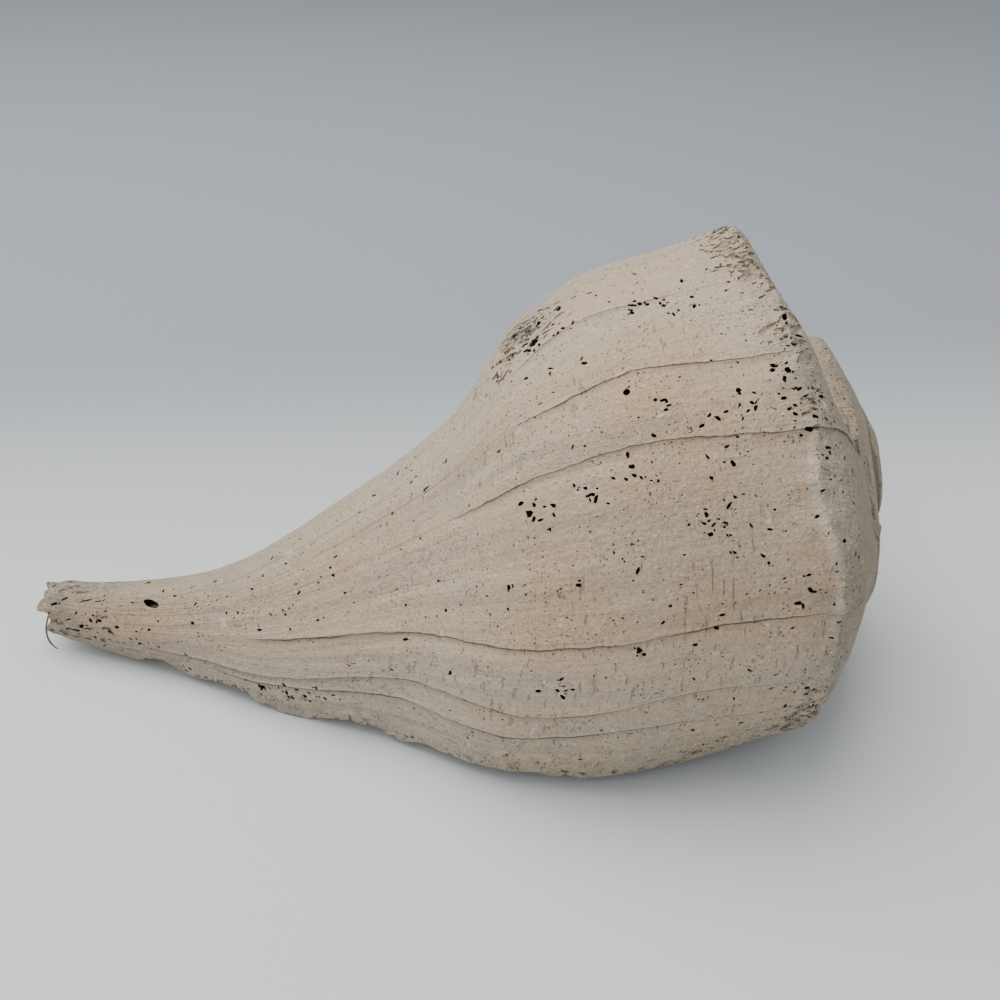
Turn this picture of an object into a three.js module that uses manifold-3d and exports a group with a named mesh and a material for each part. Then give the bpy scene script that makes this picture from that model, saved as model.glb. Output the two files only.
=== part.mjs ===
// Lightning whelk shell: a left-handed spiral shell, worn and bored, lying on its aperture.
// Lengths are millimetres and angles are degrees. The shell is drawn about its own axis, apex
// at the origin and canal towards -Z, then laid down in its resting pose, spire towards +X.

import * as THREE from 'three';
import { mergeVertices } from 'three/addons/utils/BufferGeometryUtils.js';
import Module from 'manifold-3d';

// Growth: each whorl repeats the one before it, larger by this ratio.
const WHORL_RATIO = 2.01;
const SPIRE_WHORLS = 2.4;
const APEX_RADIUS = 5.0;
const APEX_TOP = 2.0;

// Outline of the shell at the lip, from the suture over the shoulder to the tip of the canal.
// "at" is the station along the outline; the last station is the same for every whorl.
const OUTLINE = [
  { at: 0.0, radius: 45.0, depth: 22.1 },
  { at: 0.1, radius: 66.5, depth: 29.3 },
  { at: 0.2, radius: 88.0, depth: 41.4 },
  { at: 0.256, radius: 88.4, depth: 55.6 },
  { at: 0.36, radius: 88.3, depth: 81.9 },
  { at: 0.488, radius: 78.8, depth: 114.3 },
  { at: 0.616, radius: 50.6, depth: 146.7 },
  { at: 0.744, radius: 31.0, depth: 179.1 },
  { at: 0.856, radius: 14.8, depth: 207.5 },
  { at: 1.0, radius: 8.3, depth: 240.5 },
];
const SHOULDER = 0.2;

// The growing edge is not straight: it runs ahead at the suture and lags on the body.
const EDGE_SWEEP = [
  { at: 0.0, angle: 11.5 },
  { at: 0.2, angle: 3.2 },
  { at: 0.4, angle: -2.4 },
  { at: 0.6, angle: -4.0 },
  { at: 0.8, angle: -2.3 },
  { at: 1.0, angle: -1.0 },
];

// The canal stops growing in girth towards its tip and bends away from the lip.
const CANAL_START = 0.55;
const BEND_DEPTH = 158;
const CANAL_BEND = new THREE.Vector2(-21.8, -3.0);

// Close to the lip the whorl draws in and drops.
const LIP_REACH = 80;
const LIP_DRAW_IN = 0.163;
const LIP_DROP = 12.9;

// The suture wanders: it sags at first, then climbs over the whorl before it towards the lip.
// Here "at" is the growth angle.
const SUTURE_RISE = [
  { at: -2000, rise: 0 },
  { at: -200, rise: 0 },
  { at: -110, rise: -3 },
  { at: -88, rise: -3 },
  { at: -62, rise: 3.5 },
  { at: -50, rise: 4.8 },
  { at: -40, rise: 7.5 },
  { at: -30, rise: 12 },
  { at: -18, rise: 10 },
  { at: 6, rise: 4 },
];
const CLIMB_DRAW_IN = 0.5;

// Shoulder knobs, placed back from the lip; one is a dip, and wear has taken some away.
const KNOBS = [
  { angle: -24, height: -1.5 },
  { angle: -50, height: 3.5 },
  { angle: -85, height: 4.5 },
  { angle: -125, height: 4.0 },
  { angle: -166, height: 5.0 },
  { angle: -207, height: 5.0 },
  { angle: -249, height: 5.0 },
  { angle: -292, height: 5.0 },
  { angle: -430, height: 2.0 },
  { angle: -478, height: 4.5 },
  { angle: -526, height: 4.5 },
];
const KNOB_HALF_WIDTH = 10;
const KNOB_HALF_DEPTH = 0.05;
const KNOB_RISE = 0.35;

// The spire stands higher than the growth rule alone would put it.
const SPIRE_LIFT = 5;
const SPIRE_LIFT_ANGLES = [400, 470];

// Wall of the shell at the shoulder and at the tip of the canal, for a full-grown whorl.
const WALL = 4.2;
const TIP_WALL = 3.0;
const CORE_START = 24;
const CORE_RADII = [5, 6];
const CHAMBER_TURNS = 1.3;
const DEEP_CHAMBER_END = 0.66;

// The pillar thins as it turns into the shell, and leans away from the slit in the canal.
const PILLAR_THINNING = 0.45;
const PILLAR_TURN = 60;
const CANAL_THINNING = 0.6;
const PILLAR_SHIFT = 3.2;
const PILLAR_RADII = [5, 2.8];
const PILLAR_END = 239;

// Slit that opens the canal along its underside, from the lip to this azimuth at the tip.
const SLIT_START = 168;
const SLIT_ANGLES = [-6, 52];

// Resting pose: pitch of the axis, turn of the lip about the axis, and the worn contact flats.
const AXIS_PITCH = 15.5;
const LIP_TURN = 29.0;
const REST_WEAR = 0.5;

const BODY_START = -456;
const OUTER_STEP = 6;
const SPIRE_STEP = 10;
const INNER_STEP = 12;
const OVERLAP = 4;

const rad = THREE.MathUtils.degToRad;
const smooth = (x, lo, hi) => THREE.MathUtils.smoothstep(x, lo, hi);

// Curve through (at, value) pairs that never overshoots its points.
function curveThrough(rows, key) {
  const secant = rows.slice(1).map((row, i) => (row[key] - rows[i][key]) / (row.at - rows[i].at));
  const slope = rows.map((row, i) => {
    if (i === 0) return secant[0];
    if (i === rows.length - 1) return secant[i - 1];
    const product = secant[i - 1] * secant[i];
    return product > 0 ? (2 * product) / (secant[i - 1] + secant[i]) : 0;
  });
  return (at) => {
    const after = rows.findIndex((row) => row.at >= at);
    const i = Math.max(0, after - 1);
    const span = rows[i + 1].at - rows[i].at;
    const t = (at - rows[i].at) / span;
    const rise = rows[i + 1][key] - rows[i][key];
    const bulge = (slope[i] * span - rise) * (1 - t) - (slope[i + 1] * span - rise) * t;
    return rows[i][key] + rise * t + t * (1 - t) * bulge;
  };
}

const outlineRadius = curveThrough(OUTLINE, 'radius');
const outlineDepth = curveThrough(OUTLINE, 'depth');
const edgeSweep = curveThrough(EDGE_SWEEP, 'angle');
const sutureRise = curveThrough(SUTURE_RISE, 'rise');

// Sideways shift of everything at one depth, so that the canal bends as a whole.
function bendAt(depth) {
  const tip = OUTLINE[OUTLINE.length - 1].depth;
  const t = THREE.MathUtils.clamp((depth - BEND_DEPTH) / (tip - BEND_DEPTH), 0, 1);
  return CANAL_BEND.clone().multiplyScalar(t * t);
}

// Height of the shoulder knobs at one growth angle and station.
function knobHeight(angle, at) {
  const along = Math.exp(-(((at - SHOULDER) / KNOB_HALF_DEPTH) ** 2));
  const around = (knob) => knob.height * Math.exp(-(((angle - knob.angle) / KNOB_HALF_WIDTH) ** 2));
  return along * KNOBS.reduce((sum, knob) => sum + around(knob), 0);
}

// Point of the growing edge at one growth angle, pulled in by the thickness of the wall.
function edgePoint(angle, at, thickness) {
  const step = 0.004;
  const from = Math.max(0, at - step);
  const to = Math.min(1, at + step);
  const tangent = new THREE.Vector2(
    outlineRadius(to) - outlineRadius(from),
    outlineDepth(to) - outlineDepth(from),
  ).normalize();
  const wall = thickness * THREE.MathUtils.lerp(1, TIP_WALL / WALL, smooth(at, CANAL_START, 1));
  const knob = knobHeight(angle, at);
  const climb = sutureRise(angle) * Math.max(0, 1 - at / SHOULDER);
  const radius = outlineRadius(at) - wall * tangent.y + knob - CLIMB_DRAW_IN * Math.max(0, climb);
  const depth = outlineDepth(at) + wall * tangent.x - KNOB_RISE * knob - climb;
  const growth = 1 - smooth(at, CANAL_START, 1);
  const scale = WHORL_RATIO ** ((angle / 360) * growth);
  const nearLip = THREE.MathUtils.clamp(1 + angle / LIP_REACH, 0, 1) ** 2 * growth;
  const lift = SPIRE_LIFT * smooth(-angle, ...SPIRE_LIFT_ANGLES) * (1 - smooth(at, 0.3, 0.6));
  return {
    radius: Math.max(radius * scale * (1 - LIP_DRAW_IN * nearLip), 0.5),
    depth: (depth - lift) * scale + LIP_DROP * nearLip,
    azimuth: rad(angle + edgeSweep(at)),
  };
}

// Position in the shell's own frame; a shift leans the point away from the slit.
function place(radius, azimuth, depth, shift = 0) {
  const bend = bendAt(depth);
  const away = rad(SLIT_ANGLES[1] / 2 + 180);
  return [
    bend.x + radius * Math.cos(azimuth) + shift * Math.cos(away),
    bend.y + radius * Math.sin(azimuth) + shift * Math.sin(away),
    -depth,
  ];
}

// Evenly spaced values from first to last, both included.
function spread(first, last, count) {
  return Array.from({ length: count }, (_, i) => first + ((last - first) * i) / (count - 1));
}

// Closed geometry from points and triangles, ready for joining and cutting.
function closedGeometry(points, triangles) {
  const geometry = new THREE.BufferGeometry();
  geometry.setAttribute('position', new THREE.Float32BufferAttribute(points.flat(), 3));
  geometry.setIndex(triangles.flat());
  return geometry;
}

// Sector of a whorl: everything between the shell's axis and the edge swept over some angles.
function sector(angles, stations, pointAt) {
  const points = [];
  const triangles = [];
  const rows = stations.length;
  stations.forEach((at) => {
    const edge = pointAt(angles[0], at);
    points.push(place(0, 0, edge.depth));
  });
  angles.forEach((angle) => stations.forEach((at) => {
    const edge = pointAt(angle, at);
    points.push(place(edge.radius, edge.azimuth, edge.depth, edge.shift));
  }));
  const skin = (i, j) => rows * (i + 1) + j;
  const quad = (a, b, c, d) => triangles.push([a, b, c], [a, c, d]);
  const last = angles.length - 1;
  for (let i = 0; i < last; i += 1) {
    for (let j = 0; j < rows - 1; j += 1) {
      quad(skin(i, j), skin(i, j + 1), skin(i + 1, j + 1), skin(i + 1, j));
    }
    triangles.push([0, skin(i, 0), skin(i + 1, 0)]);
    triangles.push([rows - 1, skin(i + 1, rows - 1), skin(i, rows - 1)]);
  }
  for (let j = 0; j < rows - 1; j += 1) {
    quad(j, j + 1, skin(0, j + 1), skin(0, j));
    quad(j + 1, j, skin(last, j), skin(last, j + 1));
  }
  return closedGeometry(points, triangles);
}

// Solid through a stack of closed rings that all have the same number of points.
function ringStack(rings) {
  const count = rings[0].length;
  const triangles = [];
  const end = count * (rings.length - 1);
  for (let k = 0; k < count; k += 1) {
    const next = (k + 1) % count;
    for (let i = 0; i < rings.length - 1; i += 1) {
      const a = i * count;
      triangles.push([a + k, a + count + k, a + count + next], [a + k, a + count + next, a + next]);
    }
    if (k > 0 && k < count - 1) {
      triangles.push([0, k, k + 1], [end, end + k + 1, end + k]);
    }
  }
  return closedGeometry(rings.flat(), triangles);
}

// Tapered round bar down the bent axis, leaning by the given shift at its lower end.
function axisBar(depths, radii, lean = 0, sides = 12) {
  return ringStack(spread(depths[0], depths[1], 10).map((depth, i, rows) => {
    const along = i / (rows.length - 1);
    const radius = THREE.MathUtils.lerp(radii[0], radii[1], along);
    return spread(0, 2 * Math.PI, sides + 1).slice(0, -1)
      .map((azimuth) => place(radius, azimuth, depth, lean * along));
  }));
}

// Blade that opens the canal: it widens from nothing at its start to the full slit at the tip.
function slitBlade() {
  const tip = OUTLINE[OUTLINE.length - 1].depth;
  return ringStack(spread(SLIT_START, tip + 6, 12).map((depth, i, rows) => {
    const opened = Math.sqrt(i / (rows.length - 1));
    const to = THREE.MathUtils.lerp(SLIT_ANGLES[0] + 2, SLIT_ANGLES[1], opened);
    return [
      place(1.5, rad(SLIT_ANGLES[0]), depth),
      place(60, rad(SLIT_ANGLES[0]), depth),
      place(60, rad(to), depth),
      place(1.5, rad(to), depth),
    ];
  }));
}

const wasm = await Module();
wasm.setup();

function toManifold(geometry) {
  const bare = geometry.clone();
  bare.deleteAttribute('normal');
  bare.deleteAttribute('uv');
  const merged = mergeVertices(bare, 1e-4);
  return new wasm.Manifold(new wasm.Mesh({
    numProp: 3,
    vertProperties: new Float32Array(merged.attributes.position.array),
    triVerts: new Uint32Array(merged.index.array),
  }));
}

function toGeometry(manifold) {
  const mesh = manifold.getMesh();
  const geometry = new THREE.BufferGeometry();
  geometry.setAttribute('position', new THREE.BufferAttribute(mesh.vertProperties, 3));
  geometry.setIndex(new THREE.BufferAttribute(mesh.triVerts, 1));
  return geometry;
}

const joined = (parts) => parts.reduce((sum, part) => sum.add(part));

// The shell itself, without the specks that cutting leaves inside its thin walls.
function largestBody(solid) {
  return solid.decompose().reduce((big, body) => (body.volume() > big.volume() ? body : big));
}

// Whorl solid over a range of growth angles. Neighbouring sectors share one step of the sweep.
function whorls(from, to, step, stations, pointAt) {
  const angles = spread(from, to, Math.ceil((to - from) / step) + 1);
  const stride = Math.floor(90 / step);
  const pieces = [];
  for (let i = 0; i < angles.length - 1; i += stride) {
    const sweep = angles.slice(i, i + stride + 2);
    if (sweep.length > 1) pieces.push(toManifold(sector(sweep, stations, pointAt)));
  }
  return joined(pieces);
}

const shoulderStations = [0, 0.06, 0.12, 0.165, 0.2, 0.235, 0.28];
const bodyStations = [...shoulderStations, ...spread(0.33, 1, 15)];
const innerStations = [0, 0.08, 0.15, 0.2, 0.26, ...spread(0.34, 1, 11)];

const outerEdge = (angle, at) => edgePoint(angle, at, 0);

// Inner face of the wall; it runs out past the tip so that the canal stays open at its end.
function innerEdge(angle, at) {
  const edge = edgePoint(angle, at, WALL);
  return { ...edge, depth: edge.depth + 6 * smooth(at, 0.93, 1) };
}

// Face of the whorl that the chamber winds around, thinned to the pillar towards the canal.
function pillarEdge(angle, at) {
  const edge = edgePoint(angle, at, 0);
  const inside = smooth(-360 - angle, 0, PILLAR_TURN) * smooth(at, 0.5, 0.75);
  const canal = smooth(at, 0.76, 0.92);
  const radius = edge.radius * (1 - PILLAR_THINNING * inside) * (1 - CANAL_THINNING * canal);
  return { ...edge, radius, shift: PILLAR_SHIFT * smooth(at, 0.7, 0.92) };
}

// Outside of the shell as one filled solid.
function filledShell() {
  const body = whorls(BODY_START, 0, OUTER_STEP, bodyStations, outerEdge);
  const spire = whorls(-360 * (1 + SPIRE_WHORLS), -360, SPIRE_STEP, shoulderStations, outerEdge);
  const apex = new THREE.SphereGeometry(APEX_RADIUS, 16, 10);
  apex.translate(0, 0, -APEX_RADIUS - APEX_TOP);
  const core = axisBar([CORE_START, OUTLINE[OUTLINE.length - 1].depth - 1], CORE_RADII);
  return joined([body, spire, toManifold(apex), toManifold(core)]);
}

// Hollow of one stretch of whorl, left clear of the whorl that it winds around.
function chamber(from, to, stations) {
  const space = whorls(from, to, INNER_STEP, stations, innerEdge);
  const inner = whorls(from - 360, to - 360 + OVERLAP, INNER_STEP, innerStations, pillarEdge);
  return space.subtract(inner);
}

// All the hollow space: the last whorl with its canal, then a stretch of the whorl before it.
function hollow() {
  const deepStations = innerStations.filter((at) => at < DEEP_CHAMBER_END);
  const open = chamber(-360, OVERLAP, innerStations).add(toManifold(slitBlade()));
  const pillar = axisBar([CORE_START, PILLAR_END], PILLAR_RADII, PILLAR_SHIFT / 2);
  return open.add(chamber(-360 * CHAMBER_TURNS, -360, deepStations)).subtract(toManifold(pillar));
}

// Lays the shell down: spire towards +X, lip turned down, lowest spots worn flat on z = 0.
function layDown(geometry) {
  const pitch = rad(AXIS_PITCH);
  const turn = rad(LIP_TURN);
  const axis = new THREE.Vector3(Math.cos(pitch), 0, Math.sin(pitch));
  const side = new THREE.Vector3(0, -1, 0);
  const below = new THREE.Vector3().crossVectors(axis, side);
  const lip = side.clone().multiplyScalar(Math.cos(turn)).addScaledVector(below, Math.sin(turn));
  const across = new THREE.Vector3().crossVectors(axis, lip);
  geometry.applyMatrix4(new THREE.Matrix4().makeBasis(lip, across, axis));
  geometry.computeBoundingBox();
  geometry.translate(0, 0, -geometry.boundingBox.min.z - REST_WEAR);
  const table = new THREE.BoxGeometry(1000, 1000, 100);
  table.translate(0, 0, -50);
  const worn = toGeometry(toManifold(geometry).subtract(toManifold(table)));
  worn.computeBoundingBox();
  const { min, max } = worn.boundingBox;
  worn.translate(-(min.x + max.x) / 2, -(min.y + max.y) / 2, 0);
  return worn;
}

const solidShell = largestBody(filledShell().subtract(hollow()));
const shellGeometry = layDown(toGeometry(solidShell));

const chalk = new THREE.MeshStandardMaterial({
  name: 'bleached_shell',
  color: new THREE.Color().setRGB(0.64, 0.59, 0.53, THREE.SRGBColorSpace),
  roughness: 0.85,
  metalness: 0,
});

const shell = new THREE.Mesh(shellGeometry, chalk);
shell.name = 'shell';

const whelk = new THREE.Group();
whelk.name = 'whelk';
whelk.add(shell);

export default whelk;
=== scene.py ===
"""Weathered lightning whelk shell, a left-handed seashell lying on its aperture.

The shell is drawn in millimetres in its own frame, apex at the origin and canal
towards -Z, and is placed in the CAD frame in metres once its shape is finished.
Growth angles are degrees around the axis: 0 is the lip, and older shell is negative.
A station is a place along the growing edge, from 0 at the suture to 1 at the canal's tip.
"""

import logging
import math
from collections.abc import Callable
from dataclasses import dataclass
from enum import Enum
from itertools import product

import bpy
import numpy as np
from mathutils import Matrix, Vector
from mathutils.bvhtree import BVHTree
from mathutils.kdtree import KDTree


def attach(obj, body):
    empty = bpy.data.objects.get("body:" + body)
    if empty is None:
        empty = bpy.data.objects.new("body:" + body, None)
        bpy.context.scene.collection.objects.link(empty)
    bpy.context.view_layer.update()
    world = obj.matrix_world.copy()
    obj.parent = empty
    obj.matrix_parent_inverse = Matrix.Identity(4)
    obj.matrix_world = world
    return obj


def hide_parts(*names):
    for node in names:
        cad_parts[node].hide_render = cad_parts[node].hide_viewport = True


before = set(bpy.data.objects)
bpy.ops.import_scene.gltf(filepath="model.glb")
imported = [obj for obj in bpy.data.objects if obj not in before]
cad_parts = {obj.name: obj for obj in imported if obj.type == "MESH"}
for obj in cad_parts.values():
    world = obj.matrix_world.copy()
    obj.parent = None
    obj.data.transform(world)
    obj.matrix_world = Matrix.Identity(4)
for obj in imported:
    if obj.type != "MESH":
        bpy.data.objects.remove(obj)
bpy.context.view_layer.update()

log = logging.getLogger("whelk")

MILLIMETRE = 0.001
SEED = 41
FULL_TURN = 360.0
# Main ledges that get a painted shadow line, painted shade and a painted highlight.
PAINTED_SHADOW_LEDGES = 6


class Join(Enum):
    """How a tool solid changes the solid that it is put to."""

    ADD = "UNION"
    CUT = "DIFFERENCE"


def smooth(value: np.ndarray, low: float, high: float) -> np.ndarray:
    """Soft step from 0 at low to 1 at high."""
    t = np.clip((np.asarray(value, float) - low) / (high - low), 0.0, 1.0)
    return t * t * (3.0 - 2.0 * t)


def bump(value: np.ndarray, centre: float, half_width: float) -> np.ndarray:
    """Bell that is 1 at the centre."""
    return np.exp(-(((value - centre) / half_width) ** 2))


def lattice_noise(points: np.ndarray, seed: int) -> np.ndarray:
    """Smooth solid noise that is the same on every run.

    Args:
        points: places in units of one noise cell, last axis of length 3.
        seed: number that picks one pattern.

    Returns:
        Values from -1 to 1, one for each point.
    """
    cell = np.floor(points).astype(np.int64)
    part = points - cell
    blend = part * part * (3.0 - 2.0 * part)
    total = np.zeros(points.shape[:-1])
    for corner in product((0, 1), repeat=3):
        node = cell + np.array(corner)
        key = node[..., 0] * 374761393 + node[..., 1] * 668265263 + node[..., 2] * 1440662683
        key = (key + seed * 1274126177) & 0xFFFFFFFF
        key = ((key ^ (key >> 13)) * 1274126177) & 0xFFFFFFFF
        value = ((key ^ (key >> 16)) & 0xFFFF) / 32767.5 - 1.0
        total += np.prod(np.where(corner, blend, 1.0 - blend), axis=-1) * value
    return total


def deselect_all() -> None:
    """Leaves object mode with nothing selected."""
    if bpy.context.object and bpy.context.object.mode != "OBJECT":
        bpy.ops.object.mode_set(mode="OBJECT")
    bpy.ops.object.select_all(action="DESELECT")


def pick(obj: bpy.types.Object) -> None:
    """Makes one object the only selected one and the active one."""
    deselect_all()
    obj.select_set(True)
    bpy.context.view_layer.objects.active = obj


def read_points(obj: bpy.types.Object) -> np.ndarray:
    """Vertex positions of a mesh object, one row each."""
    flat = np.empty(len(obj.data.vertices) * 3)
    obj.data.vertices.foreach_get("co", flat)
    return flat.reshape(-1, 3)


def write_points(obj: bpy.types.Object, points: np.ndarray) -> None:
    """Gives a mesh object new vertex positions."""
    obj.data.vertices.foreach_set("co", np.asarray(points, float).ravel())
    obj.data.update()


def write_attribute(obj: bpy.types.Object, name: str, values: np.ndarray) -> None:
    """Stores one number for each vertex under a name that the material reads."""
    layer = obj.data.attributes.new(name, "FLOAT", "POINT")
    layer.data.foreach_set("value", np.asarray(values, float))


def boolean(target: bpy.types.Object, tool: bpy.types.Object, how: Join) -> None:
    """Joins a closed tool to a closed target or cuts it away, and uses the tool up.

    Args:
        target: solid that is changed.
        tool: solid that is removed afterwards.
        how: whether the tool is added or cut.
    """
    modifier = target.modifiers.new("boolean", "BOOLEAN")
    modifier.operation = how.value
    modifier.solver = "MANIFOLD"
    modifier.object = tool
    pick(target)
    bpy.ops.object.modifier_apply(modifier=modifier.name)
    bpy.data.objects.remove(tool, do_unlink=True)


def close_up(obj: bpy.types.Object) -> None:
    """Welds a shaped primitive's seams and poles and turns its faces outwards."""
    pick(obj)
    bpy.ops.object.mode_set(mode="EDIT")
    bpy.ops.mesh.select_all(action="SELECT")
    bpy.ops.mesh.remove_doubles(threshold=1e-4)
    bpy.ops.mesh.normals_make_consistent(inside=False)
    bpy.ops.object.mode_set(mode="OBJECT")


class SmoothCurve:
    """Curve through given points that never overshoots them."""

    def __init__(self, at: list[float], value: list[float]) -> None:
        """Works out a slope for each point.

        Args:
            at: places along the curve, rising.
            value: value at each place.
        """
        self.at = np.array(at, float)
        self.value = np.array(value, float)
        secant = np.diff(self.value) / np.diff(self.at)
        both = secant[:-1] * secant[1:]
        total = np.where(both > 0, secant[:-1] + secant[1:], 1.0)
        inner = np.where(both > 0, 2.0 * both / total, 0.0)
        self.slope = np.concatenate([secant[:1], inner, secant[-1:]])

    def __call__(self, at: np.ndarray) -> np.ndarray:
        """Value at each of the given places."""
        at = np.clip(at, self.at[0], self.at[-1])
        i = np.clip(np.searchsorted(self.at, at) - 1, 0, len(self.at) - 2)
        span = self.at[i + 1] - self.at[i]
        t = (at - self.at[i]) / span
        rise = self.value[i + 1] - self.value[i]
        left = (self.slope[i] * span - rise) * (1.0 - t)
        right = (self.slope[i + 1] * span - rise) * t
        return self.value[i] + rise * t + t * (1.0 - t) * (left - right)


@dataclass(frozen=True)
class Scar:
    """Ledge left where the shell stopped growing for a while.

    The ledge runs at one growth angle from station start to end. It swings from side to
    side by swing degrees, and drifts by drift degrees towards its end.
    """

    angle: float
    height: float
    start: float
    end: float
    swing: float = 0.6
    drift: float = 0.0
    foot_width: float = 0.18
    fade: float = 0.03

    def offset(self, angle: np.ndarray, at: np.ndarray) -> np.ndarray:
        """Degrees past the ledge: negative on older shell, positive on newer."""
        wave = self.swing * np.sin(2.0 * math.pi * (at * 3.3 + self.angle * 0.137))
        line = self.angle + wave + self.drift * smooth(at, (self.start + self.end) / 2, self.end)
        return angle - line

    def present(self, at: np.ndarray) -> np.ndarray:
        """1 along the ledge, fading to 0 past its ends."""
        begins = smooth(at, self.start - self.fade, self.start + self.fade)
        return begins * smooth(-at, -self.end, 2.0 * self.fade - self.end)

    def rise(self, angle: np.ndarray, at: np.ndarray) -> np.ndarray:
        """Height of the surface near the ledge, in millimetres."""
        past = self.offset(angle, at)
        newer = 1.0 / (1.0 + np.exp(-np.clip(past / self.foot_width, -30.0, 30.0)))
        low = -0.65 * np.exp(-np.abs(past) / 4.5)
        high = 0.35 * np.exp(-np.abs(past) / 2.5)
        return self.height * self.present(at) * (low * newer + high * (1.0 - newer))


@dataclass(frozen=True)
class Relief:
    """Everything that stands proud of the plain growth surface, or sinks below it."""

    scars: tuple[Scar, ...] = (
        Scar(-38.0, 0.95, 0.23, 0.80, 0.5, -8.0),
        Scar(-69.5, 0.75, 0.02, 0.60, 0.4),
        Scar(-83.0, 0.45, 0.21, 0.52, 1.0),
        Scar(-102.0, 0.40, 0.30, 0.52, 0.8, 7.0),
        Scar(-24.5, 0.90, 0.30, 0.90, 1.6),
        Scar(-18.0, 0.55, 0.34, 0.82, 1.3),
        Scar(-12.5, 0.60, 0.30, 0.74, 1.0),
        Scar(-8.0, 0.40, 0.36, 0.62, 0.9),
        Scar(-5.0, 0.35, 0.40, 0.74, 0.7),
        Scar(-131.0, 0.5, 0.10, 0.70, 1.0),
        Scar(-158.0, 0.4, 0.22, 0.62, 1.2),
        Scar(-190.0, 0.6, 0.05, 0.75, 1.0),
        Scar(-223.0, 0.4, 0.20, 0.66, 1.2),
        Scar(-262.0, 0.5, 0.08, 0.70, 1.0),
        Scar(-305.0, 0.5, 0.16, 0.72, 1.0),
        Scar(-344.0, 0.4, 0.05, 0.60, 1.0),
    )
    fine_count: int = 130
    fine_height: tuple[float, float] = (0.04, 0.20)
    brow: tuple[tuple[float, float], ...] = (
        (-2000.0, 0.200),
        (-125.0, 0.200),
        (-103.0, 0.193),
        (-91.0, 0.203),
        (-82.0, 0.212),
        (-78.0, 0.212),
        (-70.0, 0.206),
        (-62.0, 0.217),
        (-57.0, 0.220),
        (-52.0, 0.217),
        (-44.0, 0.207),
        (-32.0, 0.201),
        (-22.0, 0.197),
        (0.0, 0.200),
    )

    def fine_scars(self) -> list[Scar]:
        """Fine growth lines, crowded towards the lip."""
        rng = np.random.default_rng(SEED)
        lines = []
        for _ in range(self.fine_count):
            angle = -430.0 * rng.random() ** 1.7 - 2.0
            start = rng.uniform(0.03, 0.6)
            height = rng.uniform(*self.fine_height)
            lines.append(Scar(angle, height, start, start + rng.uniform(0.12, 0.45), rng.uniform(0.4, 1.4)))
        return lines

    def brow_at(self, angle: np.ndarray) -> np.ndarray:
        """Station of the ridge along the shoulder."""
        return SmoothCurve([row[0] for row in self.brow], [row[1] for row in self.brow])(angle)

    def height(self, angle: np.ndarray, at: np.ndarray, base: np.ndarray) -> np.ndarray:
        """Height of the relief over the plain surface.

        Args:
            angle: growth angle of each point.
            at: station of each point.
            base: place of each point on the plain surface.

        Returns:
            Heights in millimetres for a full-grown whorl.
        """
        lumps = 0.55 * lattice_noise(base / 30.0, 1) + 0.28 * lattice_noise(base / 11.0, 2)
        lumps += 0.10 * lattice_noise(base / 4.0, 3)
        along = at - self.brow_at(angle) + 0.2
        crest = bump(along, 0.2, 0.022) + 0.4 * bump(along, 0.19, 0.05)
        rough = 0.75 * lattice_noise(base / 4.6, 4) + 0.55 * lattice_noise(base / 2.3, 5)
        tip = smooth(at, 0.9, 0.99) * 0.5 * lattice_noise(base / 3.0, 6)
        keel = 1.5 * bump(along, 0.2, 0.010) * (0.3 + 0.7 * bump(angle, -56.0, 20.0))
        keel = keel - 0.7 * bump(along, 0.174, 0.016) * bump(angle, -56.0, 26.0)
        total = lumps + crest * (rough - 0.25) + keel + tip
        for scar in (*self.scars, *self.fine_scars()):
            total = total + scar.rise(angle, at)
        return total

    def ledge_distance(self, scar: Scar, angle: np.ndarray, at: np.ndarray, radius: np.ndarray) -> np.ndarray:
        """Millimetres past a ledge, growing quickly beyond the ledge's ends."""
        arc = np.radians(scar.offset(angle, at)) * np.maximum(radius, 6.0)
        return np.clip(arc / np.maximum(scar.present(at), 0.02), -60.0, 60.0)


@dataclass(frozen=True)
class Edge:
    """Points of the growing edge: distance from the axis, depth, azimuth and lean."""

    radius: np.ndarray
    depth: np.ndarray
    azimuth: np.ndarray
    shift: np.ndarray | float = 0.0


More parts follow.
